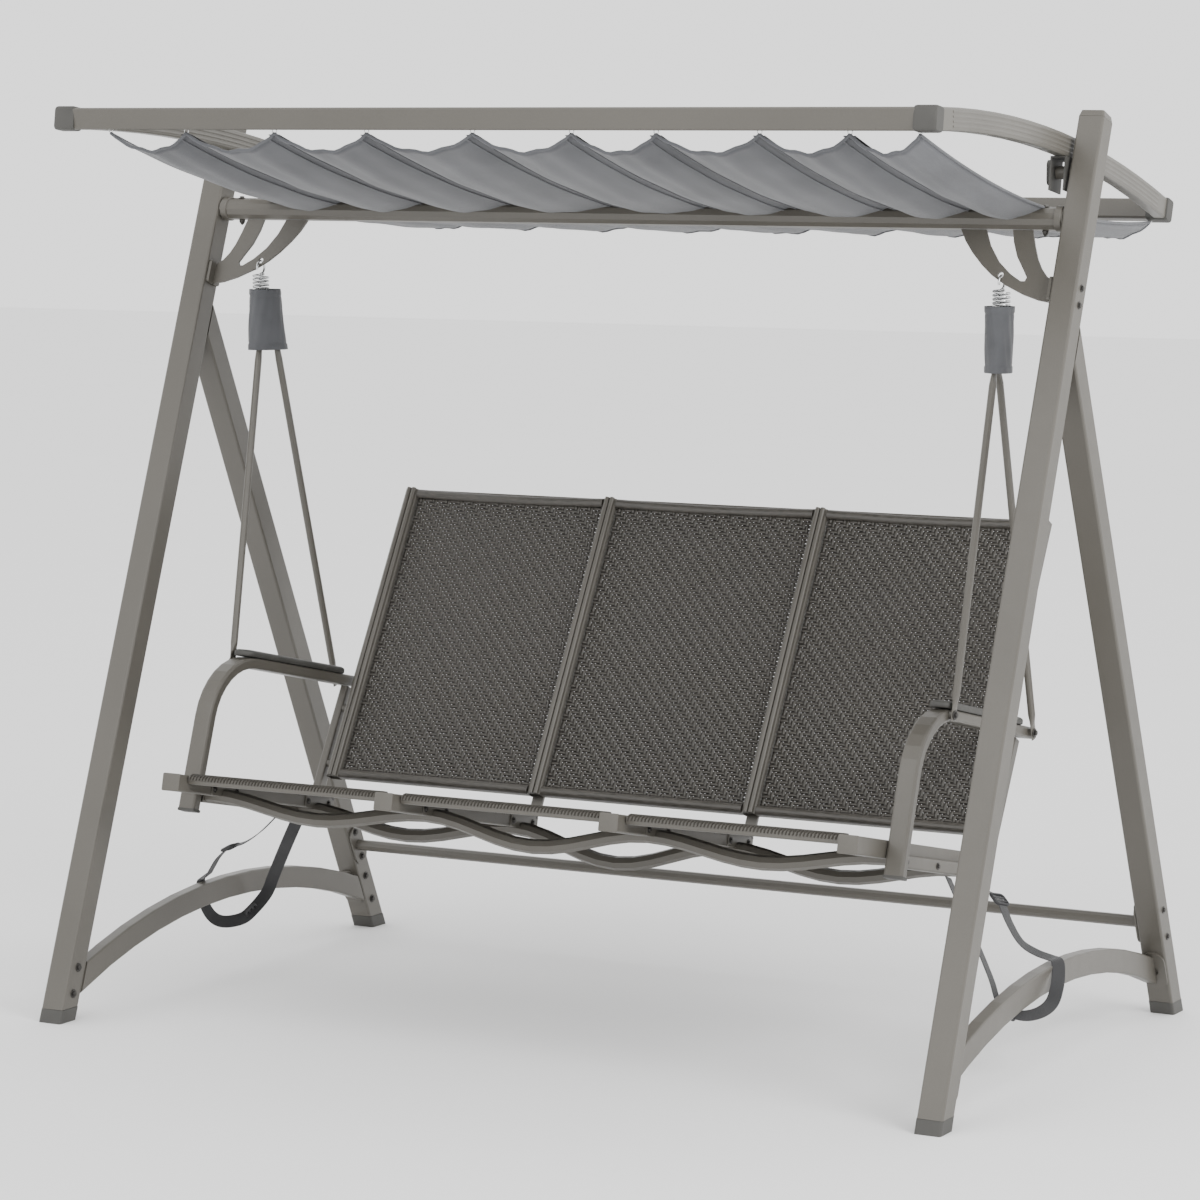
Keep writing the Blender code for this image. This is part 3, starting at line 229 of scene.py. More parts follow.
# %% Plastic and metal finishes
def moulded_plastic():
    plastic = Finish("moulded_plastic")
    grain = plastic.noise(700.0, 3.0)
    tone = plastic.band(plastic.noise(12.0), 0.3, 0.7)
    plastic.set(base_color=plastic.blend(tone, (0.042, 0.041, 0.037), (0.060, 0.058, 0.053)))
    plastic.set(roughness=0.52 + 0.14 * grain)
    plastic.bump(grain, 0.25, 0.0004)
    return plastic.material


def black_plastic():
    plastic = Finish("black_plastic")
    grain = plastic.noise(600.0, 3.0)
    plastic.set(base_color=plastic.blend(grain, (0.012, 0.012, 0.013), (0.030, 0.030, 0.032)))
    plastic.set(roughness=0.42 + 0.16 * grain)
    plastic.bump(grain, 0.2, 0.0003)
    return plastic.material


def zinc_plate():
    zinc = Finish("zinc_plate", metallic=1.0)
    cloud = zinc.band(zinc.noise(160.0, 4.0), 0.3, 0.7)
    zinc.set(base_color=zinc.blend(cloud, (0.50, 0.51, 0.52), (0.78, 0.78, 0.77)))
    zinc.set(roughness=0.20 + 0.18 * cloud)
    zinc.bump(zinc.noise(500.0, 2.0), 0.08, 0.0003)
    return zinc.material


def dark_steel():
    steel = Finish("dark_steel", metallic=0.8)
    cloud = steel.noise(240.0, 3.0)
    steel.set(base_color=steel.blend(cloud, (0.030, 0.029, 0.027), (0.085, 0.080, 0.074)))
    steel.set(roughness=0.30 + 0.25 * cloud)
    return steel.material


PLASTIC, BLACK, ZINC, DARK_STEEL = moulded_plastic(), black_plastic(), zinc_plate(), dark_steel()
print("hard finishes:", PLASTIC.name, BLACK.name, ZINC.name, DARK_STEEL.name)


# %% [markdown]
# The seat's strands are extruded plastic that imitates cane. Each is brown-grey with fine streaks
# along it and a soft gloss on its crown. The streaks come from a noise that is squeezed
# across the strand.

# %% Strand finish
def cane_strand(name, stretch):
    cane = Finish(name, specular_ior_level=0.55)
    streak = cane.band(cane.noise(60.0, 4.0, stretch), 0.32, 0.68)
    patch = cane.band(cane.noise(9.0, 3.0), 0.3, 0.7)
    tone = cane.blend(streak, (0.030, 0.027, 0.022), (0.082, 0.074, 0.063))
    cane.set(base_color=cane.blend(patch * 0.35, tone, (0.056, 0.052, 0.047)))
    cane.set(roughness=0.34 + 0.22 * streak)
    cane.bump(streak, 0.25, 0.0004)
    return cane.material


UPRIGHT_STRAND = cane_strand("upright_cane_strand", (9.0, 9.0, 1.0))
CROSS_STRAND = cane_strand("cross_cane_strand", (1.0, 9.0, 9.0))
print("strands:", UPRIGHT_STRAND.name, CROSS_STRAND.name)


# %% [markdown]
# Canopy and spring sleeves are a blue-grey polyester, the battens' pockets a near-black tape. Both are
# plain weaves: two fine waves crossed make the threads, and a slow noise and a stretched crease noise
# paint soft wrinkle shade into the colour, which is painted shade. The straps are a ribbed black webbing.

# %% Cloth finishes
def woven_cloth(name, dark, light, threads, slow_shade_share=0.6):
    cloth = Finish(name, sheen_weight=0.25, sheen_roughness=0.5)
    weave = cloth.wave(threads, "X") * cloth.wave(threads, "Y")
    # cloud and crease paint soft wrinkle shade into the colour, lighter and darker patches: painted shade.
    # crease also makes the creases' bump.
    cloud = cloth.band(cloth.noise(7.0, 5.0), 0.32, 0.68)
    crease = cloth.band(cloth.noise(26.0, 3.0, (1.0, 0.4, 1.0)), 0.35, 0.65)
    tone = cloth.blend(cloud * slow_shade_share + crease * (1 - slow_shade_share) * 0.6, dark, light)
    cloth.set(base_color=cloth.blend(weave * 0.25, tone, light))
    cloth.set(roughness=0.80 + 0.12 * weave)
    cloth.bump(weave + 1.5 * crease, 0.30, 0.0007)
    return cloth.material


CLOTH = woven_cloth("canopy_cloth", (0.058, 0.060, 0.066), (0.095, 0.098, 0.107), 260.0)
SLEEVE_CLOTH = woven_cloth("sleeve_cloth", (0.055, 0.057, 0.062), (0.092, 0.094, 0.101), 300.0)
TAPE = woven_cloth("batten_tape", (0.014, 0.015, 0.018), (0.030, 0.031, 0.036), 320.0)
WEBBING = woven_cloth("strap_webbing", (0.010, 0.010, 0.011), (0.030, 0.030, 0.032), 420.0)
print("cloths:", CLOTH.name, SLEEVE_CLOTH.name, TAPE.name, WEBBING.name)


# %% [markdown]
# The floor and the light belong to the studio. A pale floor meets a white surround, so shadows stay
# soft, and one large lamp on the right makes the side faces of the tubes the lighter ones.

# %% Studio
def area_lamp(name, place, aim, size, power):
    data = bpy.data.lights.new(name, "AREA")
    data.shape, data.size, data.energy = "DISK", size, power
    lamp = bpy.data.objects.new(name, data)
    bpy.context.scene.collection.objects.link(lamp)
    lamp.location = place
    lamp.rotation_euler = (Vector(aim) - Vector(place)).to_track_quat("-Z", "Y").to_euler()
    return lamp


def make_studio():
    world = bpy.data.worlds.new("surround")
    bpy.context.scene.world = world
    world.use_nodes = True
    background = world.node_tree.nodes["Background"]
    background.inputs["Color"].default_value = (1.0, 1.0, 1.0, 1.0)
    background.inputs["Strength"].default_value = 1.7
    data = bpy.data.meshes.new("floor")
    reach = 30.0
    corners = [(-reach, -reach, 0), (reach, -reach, 0), (reach, reach, 0), (-reach, reach, 0)]
    data.from_pydata(corners, [], [(0, 1, 2, 3)])
    floor = bpy.data.objects.new("floor", data)
    bpy.context.scene.collection.objects.link(floor)
    pale = Finish("pale_floor", roughness=0.9)
    pale.set(base_color=pale.blend(pale.noise(2.0), (0.88, 0.88, 0.88), (0.90, 0.90, 0.90)))
    data.materials.append(pale.material)
    area_lamp("side_lamp", (5.0, -1.5, 3.4), (0, 0, 0.8), 2.6, 190)
    area_lamp("front_lamp", (-1.5, -5.5, 4.0), (0, 0, 0.8), 3.0, 60)


make_studio()
print("studio ready")


# %% [markdown]
# Most added pieces are an outline carried along a line, or a profile turned about an axis. A Form
# collects any number of those and then becomes one mesh, which is lighter than many objects and
# easier to let ride on one body.

# %% Form: swept and turned shapes in one mesh
class Form:
    def __init__(self):
        self.points, self.faces = [], []

    def add(self, rings, caps=True):
        """Joins rings of points by quads, with a face over each end."""
        start, size = len(self.points), len(rings[0])
        for ring in rings:
            self.points.extend(tuple(p) for p in ring)
        for k in range(len(rings) - 1):
            low, high = start + k * size, start + (k + 1) * size
            for i in range(size):
                j = (i + 1) % size
                self.faces.append((low + i, high + i, high + j, low + j))
        if caps:
            self.faces.append(tuple(range(start, start + size)))
            last = start + (len(rings) - 1) * size
            self.faces.append(tuple(reversed(range(last, last + size))))

    def sweep(self, path, section, up, scales=None, caps=True):
        """Carries an outline along a path; its second axis starts towards up and turns least."""
        path = [Vector(p) for p in path]
        lift, rings = Vector(up), []
        for k, point in enumerate(path):
            ahead = (path[min(k + 1, len(path) - 1)] - path[max(k - 1, 0)]).normalized()
            lift = (lift - ahead * lift.dot(ahead)).normalized()
            across = ahead.cross(lift)
            scale = scales[k] if scales else 1.0
            rings.append([point + (across * a + lift * b) * scale for a, b in section])
        self.add(rings, caps)

    def turn(self, place, axis, profile, sides=20):
        """A profile of (radius, height) turned about an axis."""
        axis = Vector(axis).normalized()
        across = axis.orthogonal().normalized()
        along = axis.cross(across)
        rings = []
        for radius, height in profile:
            ring = []
            for k in range(sides):
                a = -2 * math.pi * k / sides
                spoke = across * math.cos(a) + along * math.sin(a)
                ring.append(Vector(place) + axis * height + spoke * radius)
            rings.append(ring)
        self.add(rings)

    def make(self, name, material, body=None, smooth=40.0):
        data = bpy.data.meshes.new(name)
        data.from_pydata(self.points, [], self.faces)
        data.validate()
        data.polygons.foreach_set("use_smooth", [True] * len(data.polygons))
        data.set_sharp_from_angle(angle=math.radians(smooth))
        data.materials.append(material)
        made = bpy.data.objects.new(name, data)
        bpy.context.scene.collection.objects.link(made)
        if body:
            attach(made, body)
        print(name, len(self.faces), "faces")
        return made


def oval(width, height, sides=12):
    turns = [2 * math.pi * k / sides for k in range(sides)]
    return [(width / 2 * math.cos(a), height / 2 * math.sin(a)) for a in turns]


def rounded(width, height, corner, steps=3):
    """Outline of a rectangle with round corners."""
    points = []
    for turn, (sx, sy) in enumerate(((1, 1), (-1, 1), (-1, -1), (1, -1))):
        for step in range(steps + 1):
            a = math.radians(90 * turn + 90 * step / steps)
            x = sx * (width / 2 - corner) + corner * math.cos(a)
            points.append((x, sy * (height / 2 - corner) + corner * math.sin(a)))
    return points


def smooth_route(points, steps):
    """Points along a Catmull-Rom curve through the route's own points."""
    points = [Vector(p) for p in points]
    ends = [2 * points[0] - points[1], *points, 2 * points[-1] - points[-2]]
    made = []
    for k in range(1, len(ends) - 2):
        a, b, c, d = ends[k - 1:k + 3]
        for step in range(steps):
            t = step / steps
            line = 2 * b + (c - a) * t + (2 * a - 5 * b + 4 * c - d) * t ** 2
            made.append((line + (3 * b - a - 3 * c + d) * t ** 3) / 2)
    made.append(points[-1])
    return made


# %% [markdown]
# Two loose straps tie the seat to the stand for transport. On the real swing they are flat webbing, so
# each is a thin ribbon swept along the same route as its solid, over the stretcher and back
# under it.

# %% Straps
STRAP_WIDTH, STRAP_THICKNESS = 0.025, 0.0018
STRAP_ROUTES = {
    "left": [
        (0.7455, -0.058, 0.3447), (0.7800, -0.071, 0.3080), (0.8150, -0.076, 0.2840),
        (0.8450, -0.084, 0.2730), (0.8750, -0.081, 0.2500), (0.8960, -0.076, 0.2240),
        (0.9100, -0.072, 0.2070), (0.9270, -0.066, 0.2030), (0.9375, -0.057, 0.1880),
        (0.9460, -0.036, 0.1450), (0.9420, -0.014, 0.1120), (0.9280, 0.007, 0.0980),
        (0.9050, 0.035, 0.1010), (0.8900, 0.052, 0.1160), (0.8720, 0.079, 0.1500),
        (0.8500, 0.073, 0.1890), (0.8000, 0.043, 0.2570), (0.7455, 0.012, 0.3296),
    ],
    "right": [
        (0.7455, -0.010, 0.3343), (0.7750, 0.000, 0.3160), (0.8050, -0.002, 0.3020),
        (0.8350, -0.026, 0.2670), (0.8620, -0.032, 0.2330), (0.8860, -0.018, 0.2140),
        (0.9120, -0.014, 0.2060), (0.9290, -0.020, 0.2030), (0.9380, -0.034, 0.1880),
        (0.9450, -0.056, 0.1640), (0.9460, -0.082, 0.1390), (0.9380, -0.114, 0.1270),
        (0.9190, -0.144, 0.1240), (0.8970, -0.168, 0.1340), (0.8840, -0.183, 0.1560),
        (0.8680, -0.178, 0.1930), (0.8200, -0.145, 0.2560), (0.7455, -0.100, 0.3538),
    ],
}
BUCKLE_STOPS = {"left": (3, 13), "right": (2, 13)}


def make_strap(label, side):
    route = smooth_route([(side * x, y, z) for x, y, z in STRAP_ROUTES[label]], 6)
    ribbon = Form()
    ribbon.sweep(route, rounded(STRAP_WIDTH, STRAP_THICKNESS, STRAP_THICKNESS * 0.45, 1), (0, 0, 1))
    strap = ribbon.make(f"{label}_webbing", WEBBING)
    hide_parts(f"{label}_strap")
    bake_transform(strap)
    length = sum((b - a).length for a, b in zip(route, route[1:]))
    print(label, "strap", round(length, 3), "m")
    return strap, route, length


def make_buckle(name, place, ahead, body):
    """A ladder-lock buckle: a rounded loop with two cross bars."""
    ahead = ahead.normalized()
    across = (Vector((0, 1, 0)) - ahead * ahead.y).normalized()
    loop = Form()
    outline = rounded(0.036, 0.026, 0.006, 3)
    path = [place + across * a + ahead * b for a, b in outline]
    loop.sweep([*path, path[0]], oval(0.005, 0.006, 8), ahead.cross(across), caps=False)
    for shift in (-0.004, 0.005):
        middle = place + ahead * shift
        loop.sweep([middle - across * 0.016, middle + across * 0.016], oval(0.004, 0.005, 8), ahead)
    return loop.make(name, BLACK, body)


for label, side in SIDES:
    strap, route, length = make_strap(label, side)
    for number, stop in enumerate(BUCKLE_STOPS[label], 1):
        k = stop * 6
        make_buckle(f"{label}_buckle_{number}", route[k], route[k + 1] - route[k - 1], "frame")


# %% [markdown]
# The seat and the back are three panels each, woven on the frame from flat strands in a two-over,
# two-under twill. A bump map would leave the panels flat at their edges and let no light through, so
# every strand is real: a lens-shaped ribbon that rises and dips at each crossing, and at the panels'
# sides rolls back over the tube.

# %% Panels of real strands
SEAT_TILT, BACK_RECLINE = math.radians(12.2), math.radians(16.3)
RAIL_DEPTH, RAIL_WIDTH = 0.033, 0.038
PITCH_OF_STRANDS = 0.0078
STRAND_COVER = 0.92          # share of the pitch that a strand covers
STRAND_THICKNESS = 0.0012
STRAND_WAVE = 0.0011
rail_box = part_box("seat_rail_2")
SEAT_FRONT = Vector((0, rail_box[0].y + RAIL_DEPTH * math.sin(SEAT_TILT), rail_box[1].z))
SEAT = Matrix.Translation(SEAT_FRONT) @ Matrix.Rotation(-SEAT_TILT, 4, "X")
BACK = SEAT @ Matrix.Translation((0, 0.536, 0.037)) @ Matrix.Rotation(-BACK_RECLINE, 4, "X")
RAILS = [(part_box(f"seat_rail_{k}")[0].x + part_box(f"seat_rail_{k}")[1].x) / 2 for k in (1, 2, 3, 4)]


def strand(line, across, lift, half_width, half_thick):
    """Points and quads of a lens-shaped strand along a line, closed at its ends."""
    sides = np.array([-across * half_width, lift * half_thick, across * half_width, -lift * half_thick])
    points = (line[:, None, :] + sides[None, :, :]).reshape(-1, 3)
    steps = np.arange(len(line) - 1)[:, None] * 4
    corner = np.arange(4)[None, :]
    after = (corner + 1) % 4
    quads = np.stack([steps + corner, steps + after, steps + 4 + after, steps + 4 + corner], axis=2)
    quads = quads.reshape(-1, 4)
    last = 4 * (len(line) - 1)
    ends = np.array([[3, 2, 1, 0], [last, last + 1, last + 2, last + 3]])
    return points, np.concatenate([quads, ends])


def over_under(start, count, first):
    """Heights at each crossing and halfway between them, for a two-over two-under twill."""
    signs = np.array([1.0 if (first + k) % 4 < 2 else -1.0 for k in range(-1, count + 1)])
    heights = np.empty(2 * count + 1)
    heights[1::2] = signs[1:-1]
    heights[0::2] = (signs[:-1] + signs[1:]) / 2
    return heights * start


def woven_panel(name, width, height, place, node):
    """Strands both ways over a panel in its own plane: width along x, height along the other axis."""
    columns, rows = round(width / PITCH_OF_STRANDS), round(height / PITCH_OF_STRANDS)
    step_x, step_v = width / columns, height / rows
    x_axis, v_axis, lift = np.array([1.0, 0, 0]), np.array([0, 1.0, 0]), np.array([0, 0, 1.0])
    sets = []
    half = STRAND_THICKNESS / 2
    for material_index, (count, other) in enumerate(((columns, rows), (rows, columns))):
        points, faces, total = [], [], 0
        for k in range(count):
            run = np.linspace(0, 1, 2 * other + 1)
            if material_index == 0:
                line = np.outer(np.full(len(run), (k + 0.5) * step_x - width / 2), x_axis)
                line += np.outer(run * height, v_axis)
                line += np.outer(over_under(STRAND_WAVE, other, k), lift)
                made = strand(line, x_axis, lift, step_x * STRAND_COVER / 2, half)
            else:
                line = np.outer(run * width - width / 2, x_axis)
                line += np.outer(np.full(len(run), (k + 0.5) * step_v), v_axis)
                line += np.outer(-over_under(STRAND_WAVE, other, k), lift)
                roll = [0.004 * np.array([math.sin(a), 0, math.cos(a) - 1]) for a in (0.8, 1.6, 2.4)]
                left = [line[0] + r * np.array([-1, 1, 1]) for r in reversed(roll)]
                right = [line[-1] + r for r in roll]
                line = np.concatenate([left, line, right])
                made = strand(line, -v_axis, lift, step_v * STRAND_COVER / 2, half)
            points.append(made[0])
            faces.append(made[1] + total)
            total += len(made[0])
        sets.append((np.concatenate(points), np.concatenate(faces)))
    all_points = np.concatenate([sets[0][0], sets[1][0]])
    all_faces = np.concatenate([sets[0][1], sets[1][1] + len(sets[0][0])])
    matrix = np.array(place, float)
    all_points = all_points @ matrix[:3, :3].T + matrix[:3, 3]
    data = bpy.data.meshes.new(name)
    data.from_pydata(all_points.tolist(), [], all_faces.tolist())
    data.materials.append(UPRIGHT_STRAND)
    data.materials.append(CROSS_STRAND)
    which = np.zeros(len(all_faces), np.int32)
    which[len(sets[0][1]):] = 1
    data.polygons.foreach_set("material_index", which)
    data.polygons.foreach_set("use_smooth", np.ones(len(all_faces), bool))
    data.update()
    panel = bpy.data.objects.new(name, data)
    bpy.context.scene.collection.objects.link(panel)
    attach(panel, "seat")
    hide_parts(node)
    print(name, columns, "by", rows, "strands,", len(all_faces), "faces")
    return panel


BACK_POSTS = [-0.7125, RAILS[1], RAILS[2], 0.7125]
BACK_LENGTH, BACK_BAR, POST_WIDTH = 0.640, 0.018, 0.030
ROLL_ALLOWANCE = 0.0048
BACK_WEAVE_DEPTH = 0.0075    # behind the back's front face
SEAT_WEAVE_START, SEAT_WEAVE_DROP, SEAT_WEAVE_LENGTH = 0.044, 0.003, 0.533 - 0.046
for k in range(3):
    width = BACK_POSTS[k + 1] - BACK_POSTS[k] - POST_WIDTH - 2 * ROLL_ALLOWANCE
    middle = (BACK_POSTS[k] + BACK_POSTS[k + 1]) / 2
    upright = Matrix(((1, 0, 0, middle), (0, 0, -1, BACK_WEAVE_DEPTH), (0, 1, 0, BACK_BAR), (0, 0, 0, 1)))
    woven_panel(f"back_weave_{k + 1}", width, BACK_LENGTH - 2 * BACK_BAR, BACK @ upright, f"back_panel_{k + 1}")
    gap = RAILS[k + 1] - RAILS[k] - RAIL_WIDTH - 2 * ROLL_ALLOWANCE
    flat = Matrix.Translation(((RAILS[k] + RAILS[k + 1]) / 2, SEAT_WEAVE_START, -SEAT_WEAVE_DROP))
    woven_panel(f"seat_weave_{k + 1}", gap, SEAT_WEAVE_LENGTH, SEAT @ flat, f"seat_panel_{k + 1}")


# %% [markdown]
# Each back panel is really its own small frame, so at a joint two slim tubes stand side by side in
# front of the post, and a wrapped bar closes the panel's top and bottom. These are swept rounds.
# The seat's front edge is a smooth bar, with slanted strands wrapped over its upper front edge.

# %% Panel edges
def make_back_trims():
    tubes = Form()
    for place in BACK_POSTS:
        for shift in (-0.0055, 0.0055):
            heights = (0.001, BACK_LENGTH / 2, BACK_LENGTH + 0.001)
            path = [BACK @ Vector((place + shift, -0.0015, z)) for z in heights]
            tubes.sweep(path, oval(0.0100, 0.0100, 14), BACK.to_3x3() @ Vector((0, -1, 0)))
    tubes.make("back_edge_tubes", POWDER, "seat")
    bars = Form()
    for k in range(3):
        start, end = BACK_POSTS[k] + POST_WIDTH / 2 + 0.001, BACK_POSTS[k + 1] - POST_WIDTH / 2 - 0.001
        for z in (BACK_BAR / 2, BACK_LENGTH - BACK_BAR / 2):
            path = []
            for step in range(13):
                t = step / 12
                droop = 0.004 * math.sin(math.pi * t) if z > 0.1 else 0.0
                path.append(BACK @ Vector((start + (end - start) * t, 0.005, z - droop)))
            bars.sweep(path, oval(0.0155, 0.0190, 14), BACK.to_3x3() @ Vector((0, 0, 1)))
    bars.make("back_edge_bars", CROSS_STRAND, "seat")


# Depth along the seat and height of a strand, from the bar's front face over its edge and back.
WRAP_OVER_EDGE = (
    (0.0231, -0.0095), (0.0228, -0.0045), (0.0236, -0.0006),
    (0.0270, 0.0009), (0.0360, 0.0010), (0.0450, 0.0006),
)


def make_seat_front():
    bars, wraps = Form(), Form()
    turn = SEAT.to_3x3()
    for k in range(3):
        start, end = RAILS[k] + RAIL_WIDTH / 2 + 0.001, RAILS[k + 1] - RAIL_WIDTH / 2 - 0.001
        path = [SEAT @ Vector((start + (end - start) * t, 0.034, -0.0085)) for t in (0, 0.25, 0.5, 0.75, 1)]
        bars.sweep(path, rounded(0.020, 0.0165, 0.004), turn @ Vector((0, 0, 1)))
        count = round((end - start) / 0.0072)
        for number in range(count):
            x = start + (number + 0.5) * (end - start - 0.006) / count
            slant = 0.006
            line = [SEAT @ Vector((x + slant * n / 5, u, w)) for n, (u, w) in enumerate(WRAP_OVER_EDGE)]
            wraps.sweep(line, oval(0.0060, 0.0016, 6), turn @ Vector((0, 0, 1)))
    bars.make("seat_front_bars", POWDER, "seat")
    wraps.make("seat_front_wraps", CROSS_STRAND, "seat")


make_back_trims()
make_seat_front()

# %% [markdown]
# The canopy is one long cloth. Small hooks hold its front hem to the rail, and dark tapes run back from
# the hooks to the rear rail. Between two tapes the cloth hangs in a shallow bag, deepest at the
# hems, and it sags towards the middle. A grid whose height is one formula of both directions
# gives that, and keeps the tapes and hems exactly on the cloth.

# %% Canopy cloth
HOOKS = [-0.794, -0.623, -0.428, -0.229, -0.006, 0.197, 0.366, 0.568, 0.740, 0.872]
CLOTH_SAG, FRONT_DROOP, REAR_DROOP = 0.047, 0.033, 0.030
front_box, rear_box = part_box("canopy_front_rail"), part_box("canopy_rear_rail")
FRONT_HEM = Vector((0, (front_box[0].y + front_box[1].y) / 2 + 0.004, front_box[0].z - 0.006))
REAR_HEM = Vector((0, (rear_box[0].y + rear_box[1].y) / 2 - 0.010, rear_box[0].z - 0.002))


def bay_share(x):
    """Which bay x lies in, and how far across it, from 0 to 1."""
    for k in range(len(HOOKS) - 1):
        if x <= HOOKS[k + 1] or k == len(HOOKS) - 2:
            return k, min(max((x - HOOKS[k]) / (HOOKS[k + 1] - HOOKS[k]), 0.0), 1.0)


def cloth_point(x, s):
    """A place on the cloth: x across, s from the front hem to the rear hem."""
    bay, t = bay_share(x)
    base = FRONT_HEM.lerp(REAR_HEM, s)
    bag = math.sin(math.pi * t) ** 0.8
    front, rear = (1 - s) ** 2.2, s ** 3
    middle = 4 * s * (1 - s)
    pull = 0.004 * math.sin(2 * math.pi * t + bay) * middle
    fold = 0.0022 * math.sin(7 * math.pi * t + 9 * s + 1.7 * bay) * bag * (front + rear)
    crease = 0.0016 * math.sin(31 * s + 5 * t + bay) * bag * middle
    depth = CLOTH_SAG * middle + bag * (FRONT_DROOP * front + REAR_DROOP * rear + 0.010 * middle)
    y = base.y + 0.010 * bag * (front - rear)
    return Vector((x, y, base.z - depth + pull * 0.5 + fold + crease))


def cloth_normal(x, s):
    dx = cloth_point(min(x + 0.002, HOOKS[-1]), s) - cloth_point(max(x - 0.002, HOOKS[0]), s)
    ds = cloth_point(x, min(s + 0.01, 1)) - cloth_point(x, max(s - 0.01, 0))
    return dx.cross(ds).normalized()


def make_cloth():
    columns = []
    for k in range(len(HOOKS) - 1):
        columns.extend(HOOKS[k] + (HOOKS[k + 1] - HOOKS[k]) * n / 18 for n in range(18))
    columns.append(HOOKS[-1])
    rows = [n / 60 for n in range(61)]
    points = [cloth_point(x, s) for s in rows for x in columns]
    wide = len(columns)
    faces = [(r * wide + c, r * wide + c + 1, (r + 1) * wide + c + 1, (r + 1) * wide + c)
             for r in range(len(rows) - 1) for c in range(wide - 1)]
    data = bpy.data.meshes.new("canopy_cloth")
    data.from_pydata(points, [], faces)
    data.polygons.foreach_set("use_smooth", [True] * len(faces))
    data.materials.append(CLOTH)
    cloth = bpy.data.objects.new("canopy_cloth", data)
    bpy.context.scene.collection.objects.link(cloth)
    thick = cloth.modifiers.new("thickness", "SOLIDIFY")
    thick.thickness = 0.0012
    thick.offset = 0
    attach(cloth, "canopy")
    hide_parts("canopy_fabric")
    front = [cloth_point(x, 0.3) for x in columns]
    middle = [cloth_point(0.3, s) for s in rows]
    flat_width = sum((b - a).length for a, b in zip(front, front[1:]))
    flat_length = sum((b - a).length for a, b in zip(middle, middle[1:]))
    print("cloth", round(flat_width, 3), "by", round(flat_length, 3), "m,", len(faces), "faces")
    return cloth, flat_width, flat_length


def make_tapes():
    """Tapes on the underside with a cord of piping on both sides, and a rolled hem at front and rear."""
    tapes, piping = Form(), Form()
    for x in HOOKS[1:-1]:
        stations = [n / 40 for n in range(41)]
        under = [cloth_point(x, s) - cloth_normal(x, s) * 0.0028 for s in stations]
        tapes.sweep(under, rounded(0.024, 0.0016, 0.0006, 1), (0, 0, 1))
        for shift in (-0.0135, 0.0135):
            line = [cloth_point(x + shift, s) - cloth_normal(x + shift, s) * 0.0018 for s in stations]
            piping.sweep(line, oval(0.0028, 0.0028, 6), (0, 0, 1))
    for s in (0.0, 1.0):
        for k in range(len(HOOKS) - 1):
            span = HOOKS[k + 1] - HOOKS[k]
            line = [cloth_point(HOOKS[k] + span * n / 16, s) for n in range(17)]
            piping.sweep(line, oval(0.0050, 0.0060, 8), (0, 0, 1))
    for x in (HOOKS[0], HOOKS[-1]):
        piping.sweep([cloth_point(x, n / 30) for n in range(31)], oval(0.0050, 0.0050, 8), (0, 0, 1))
    return tapes.make("canopy_tapes", TAPE, "canopy"), piping.make("canopy_hems", CLOTH, "canopy")


def make_cloth_hooks():
    wire = Form()
    for s in (0.0, 1.0):
        for x in HOOKS:
            hem = cloth_point(x, s)
            path = []
            for k in range(9):
                a = math.radians(-120 + 260 * k / 8)
                path.append(hem + Vector((0.0045 * math.sin(a), 0.001, 0.0045 + 0.0055 * math.cos(a))))
            wire.sweep(path, oval(0.0018, 0.0018, 6), (0, 1, 0))
    return wire.make("canopy_cloth_hooks", ZINC, "canopy")


cloth, cloth_width, cloth_length = make_cloth()
tapes, hems = make_tapes()
cloth_hooks = make_cloth_hooks()


# %% [markdown]
# Each spring hangs in a cloth sleeve so that no finger meets the coil. The sleeve is a loose oval bag,
# turned so that its rear edge lies inboard, with a stitched hem at each end and shallow creases.
# It is lofted from ovals whose size and place change from top to foot.

# %% Spring sleeves
def make_sleeve(label, side):
    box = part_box(f"{label}_spring_sleeve")
    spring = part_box(f"{label}_spring")
    hook_x = (spring[0].x + spring[1].x) / 2
    hook_y = (spring[0].y + spring[1].y) / 2
    turn = math.radians(22)
    rings, sides, levels = [], 48, 36
    for level in range(levels + 1):
        t = level / levels
        across, along = 0.051 + (0.047 - 0.051) * t, 0.060 + (0.084 - 0.060) * t
        shift_x, shift_y = -0.006 - 0.003 * t, 0.0055 + 0.004 * t
        hem = 0.0009 if t < 0.09 or t > 0.91 else 0.0
        pinch = -0.0006 if abs(t - 0.10) < 0.012 or abs(t - 0.90) < 0.012 else 0.0
        ring = []
        for k in range(sides):
            a = 2 * math.pi * k / sides
            crease = 0.0009 * math.sin(5 * a + 3.1 * t + side) * math.sin(math.pi * t)
            crease += 0.0006 * math.sin(11 * a - 7 * t)
            x = (across / 2 + hem + pinch + crease) * math.cos(a)
            y = (along / 2 + hem + pinch + crease) * math.sin(a)
            out = shift_x + x * math.cos(turn) - y * math.sin(turn)
            back = shift_y + x * math.sin(turn) + y * math.cos(turn)
            ring.append(Vector((hook_x + side * out, hook_y + back, box[1].z - (box[1].z - box[0].z) * t)))
        rings.append(ring if side < 0 else list(reversed(ring)))
    shell = Form()
    shell.add(rings, caps=False)
    sleeve = shell.make(f"{label}_sleeve", SLEEVE_CLOTH, smooth=80)
    wall = sleeve.modifiers.new("wall", "SOLIDIFY")
    wall.thickness = 0.0012
    wall.offset = -1
    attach(sleeve, "seat")
    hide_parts(f"{label}_spring_sleeve")
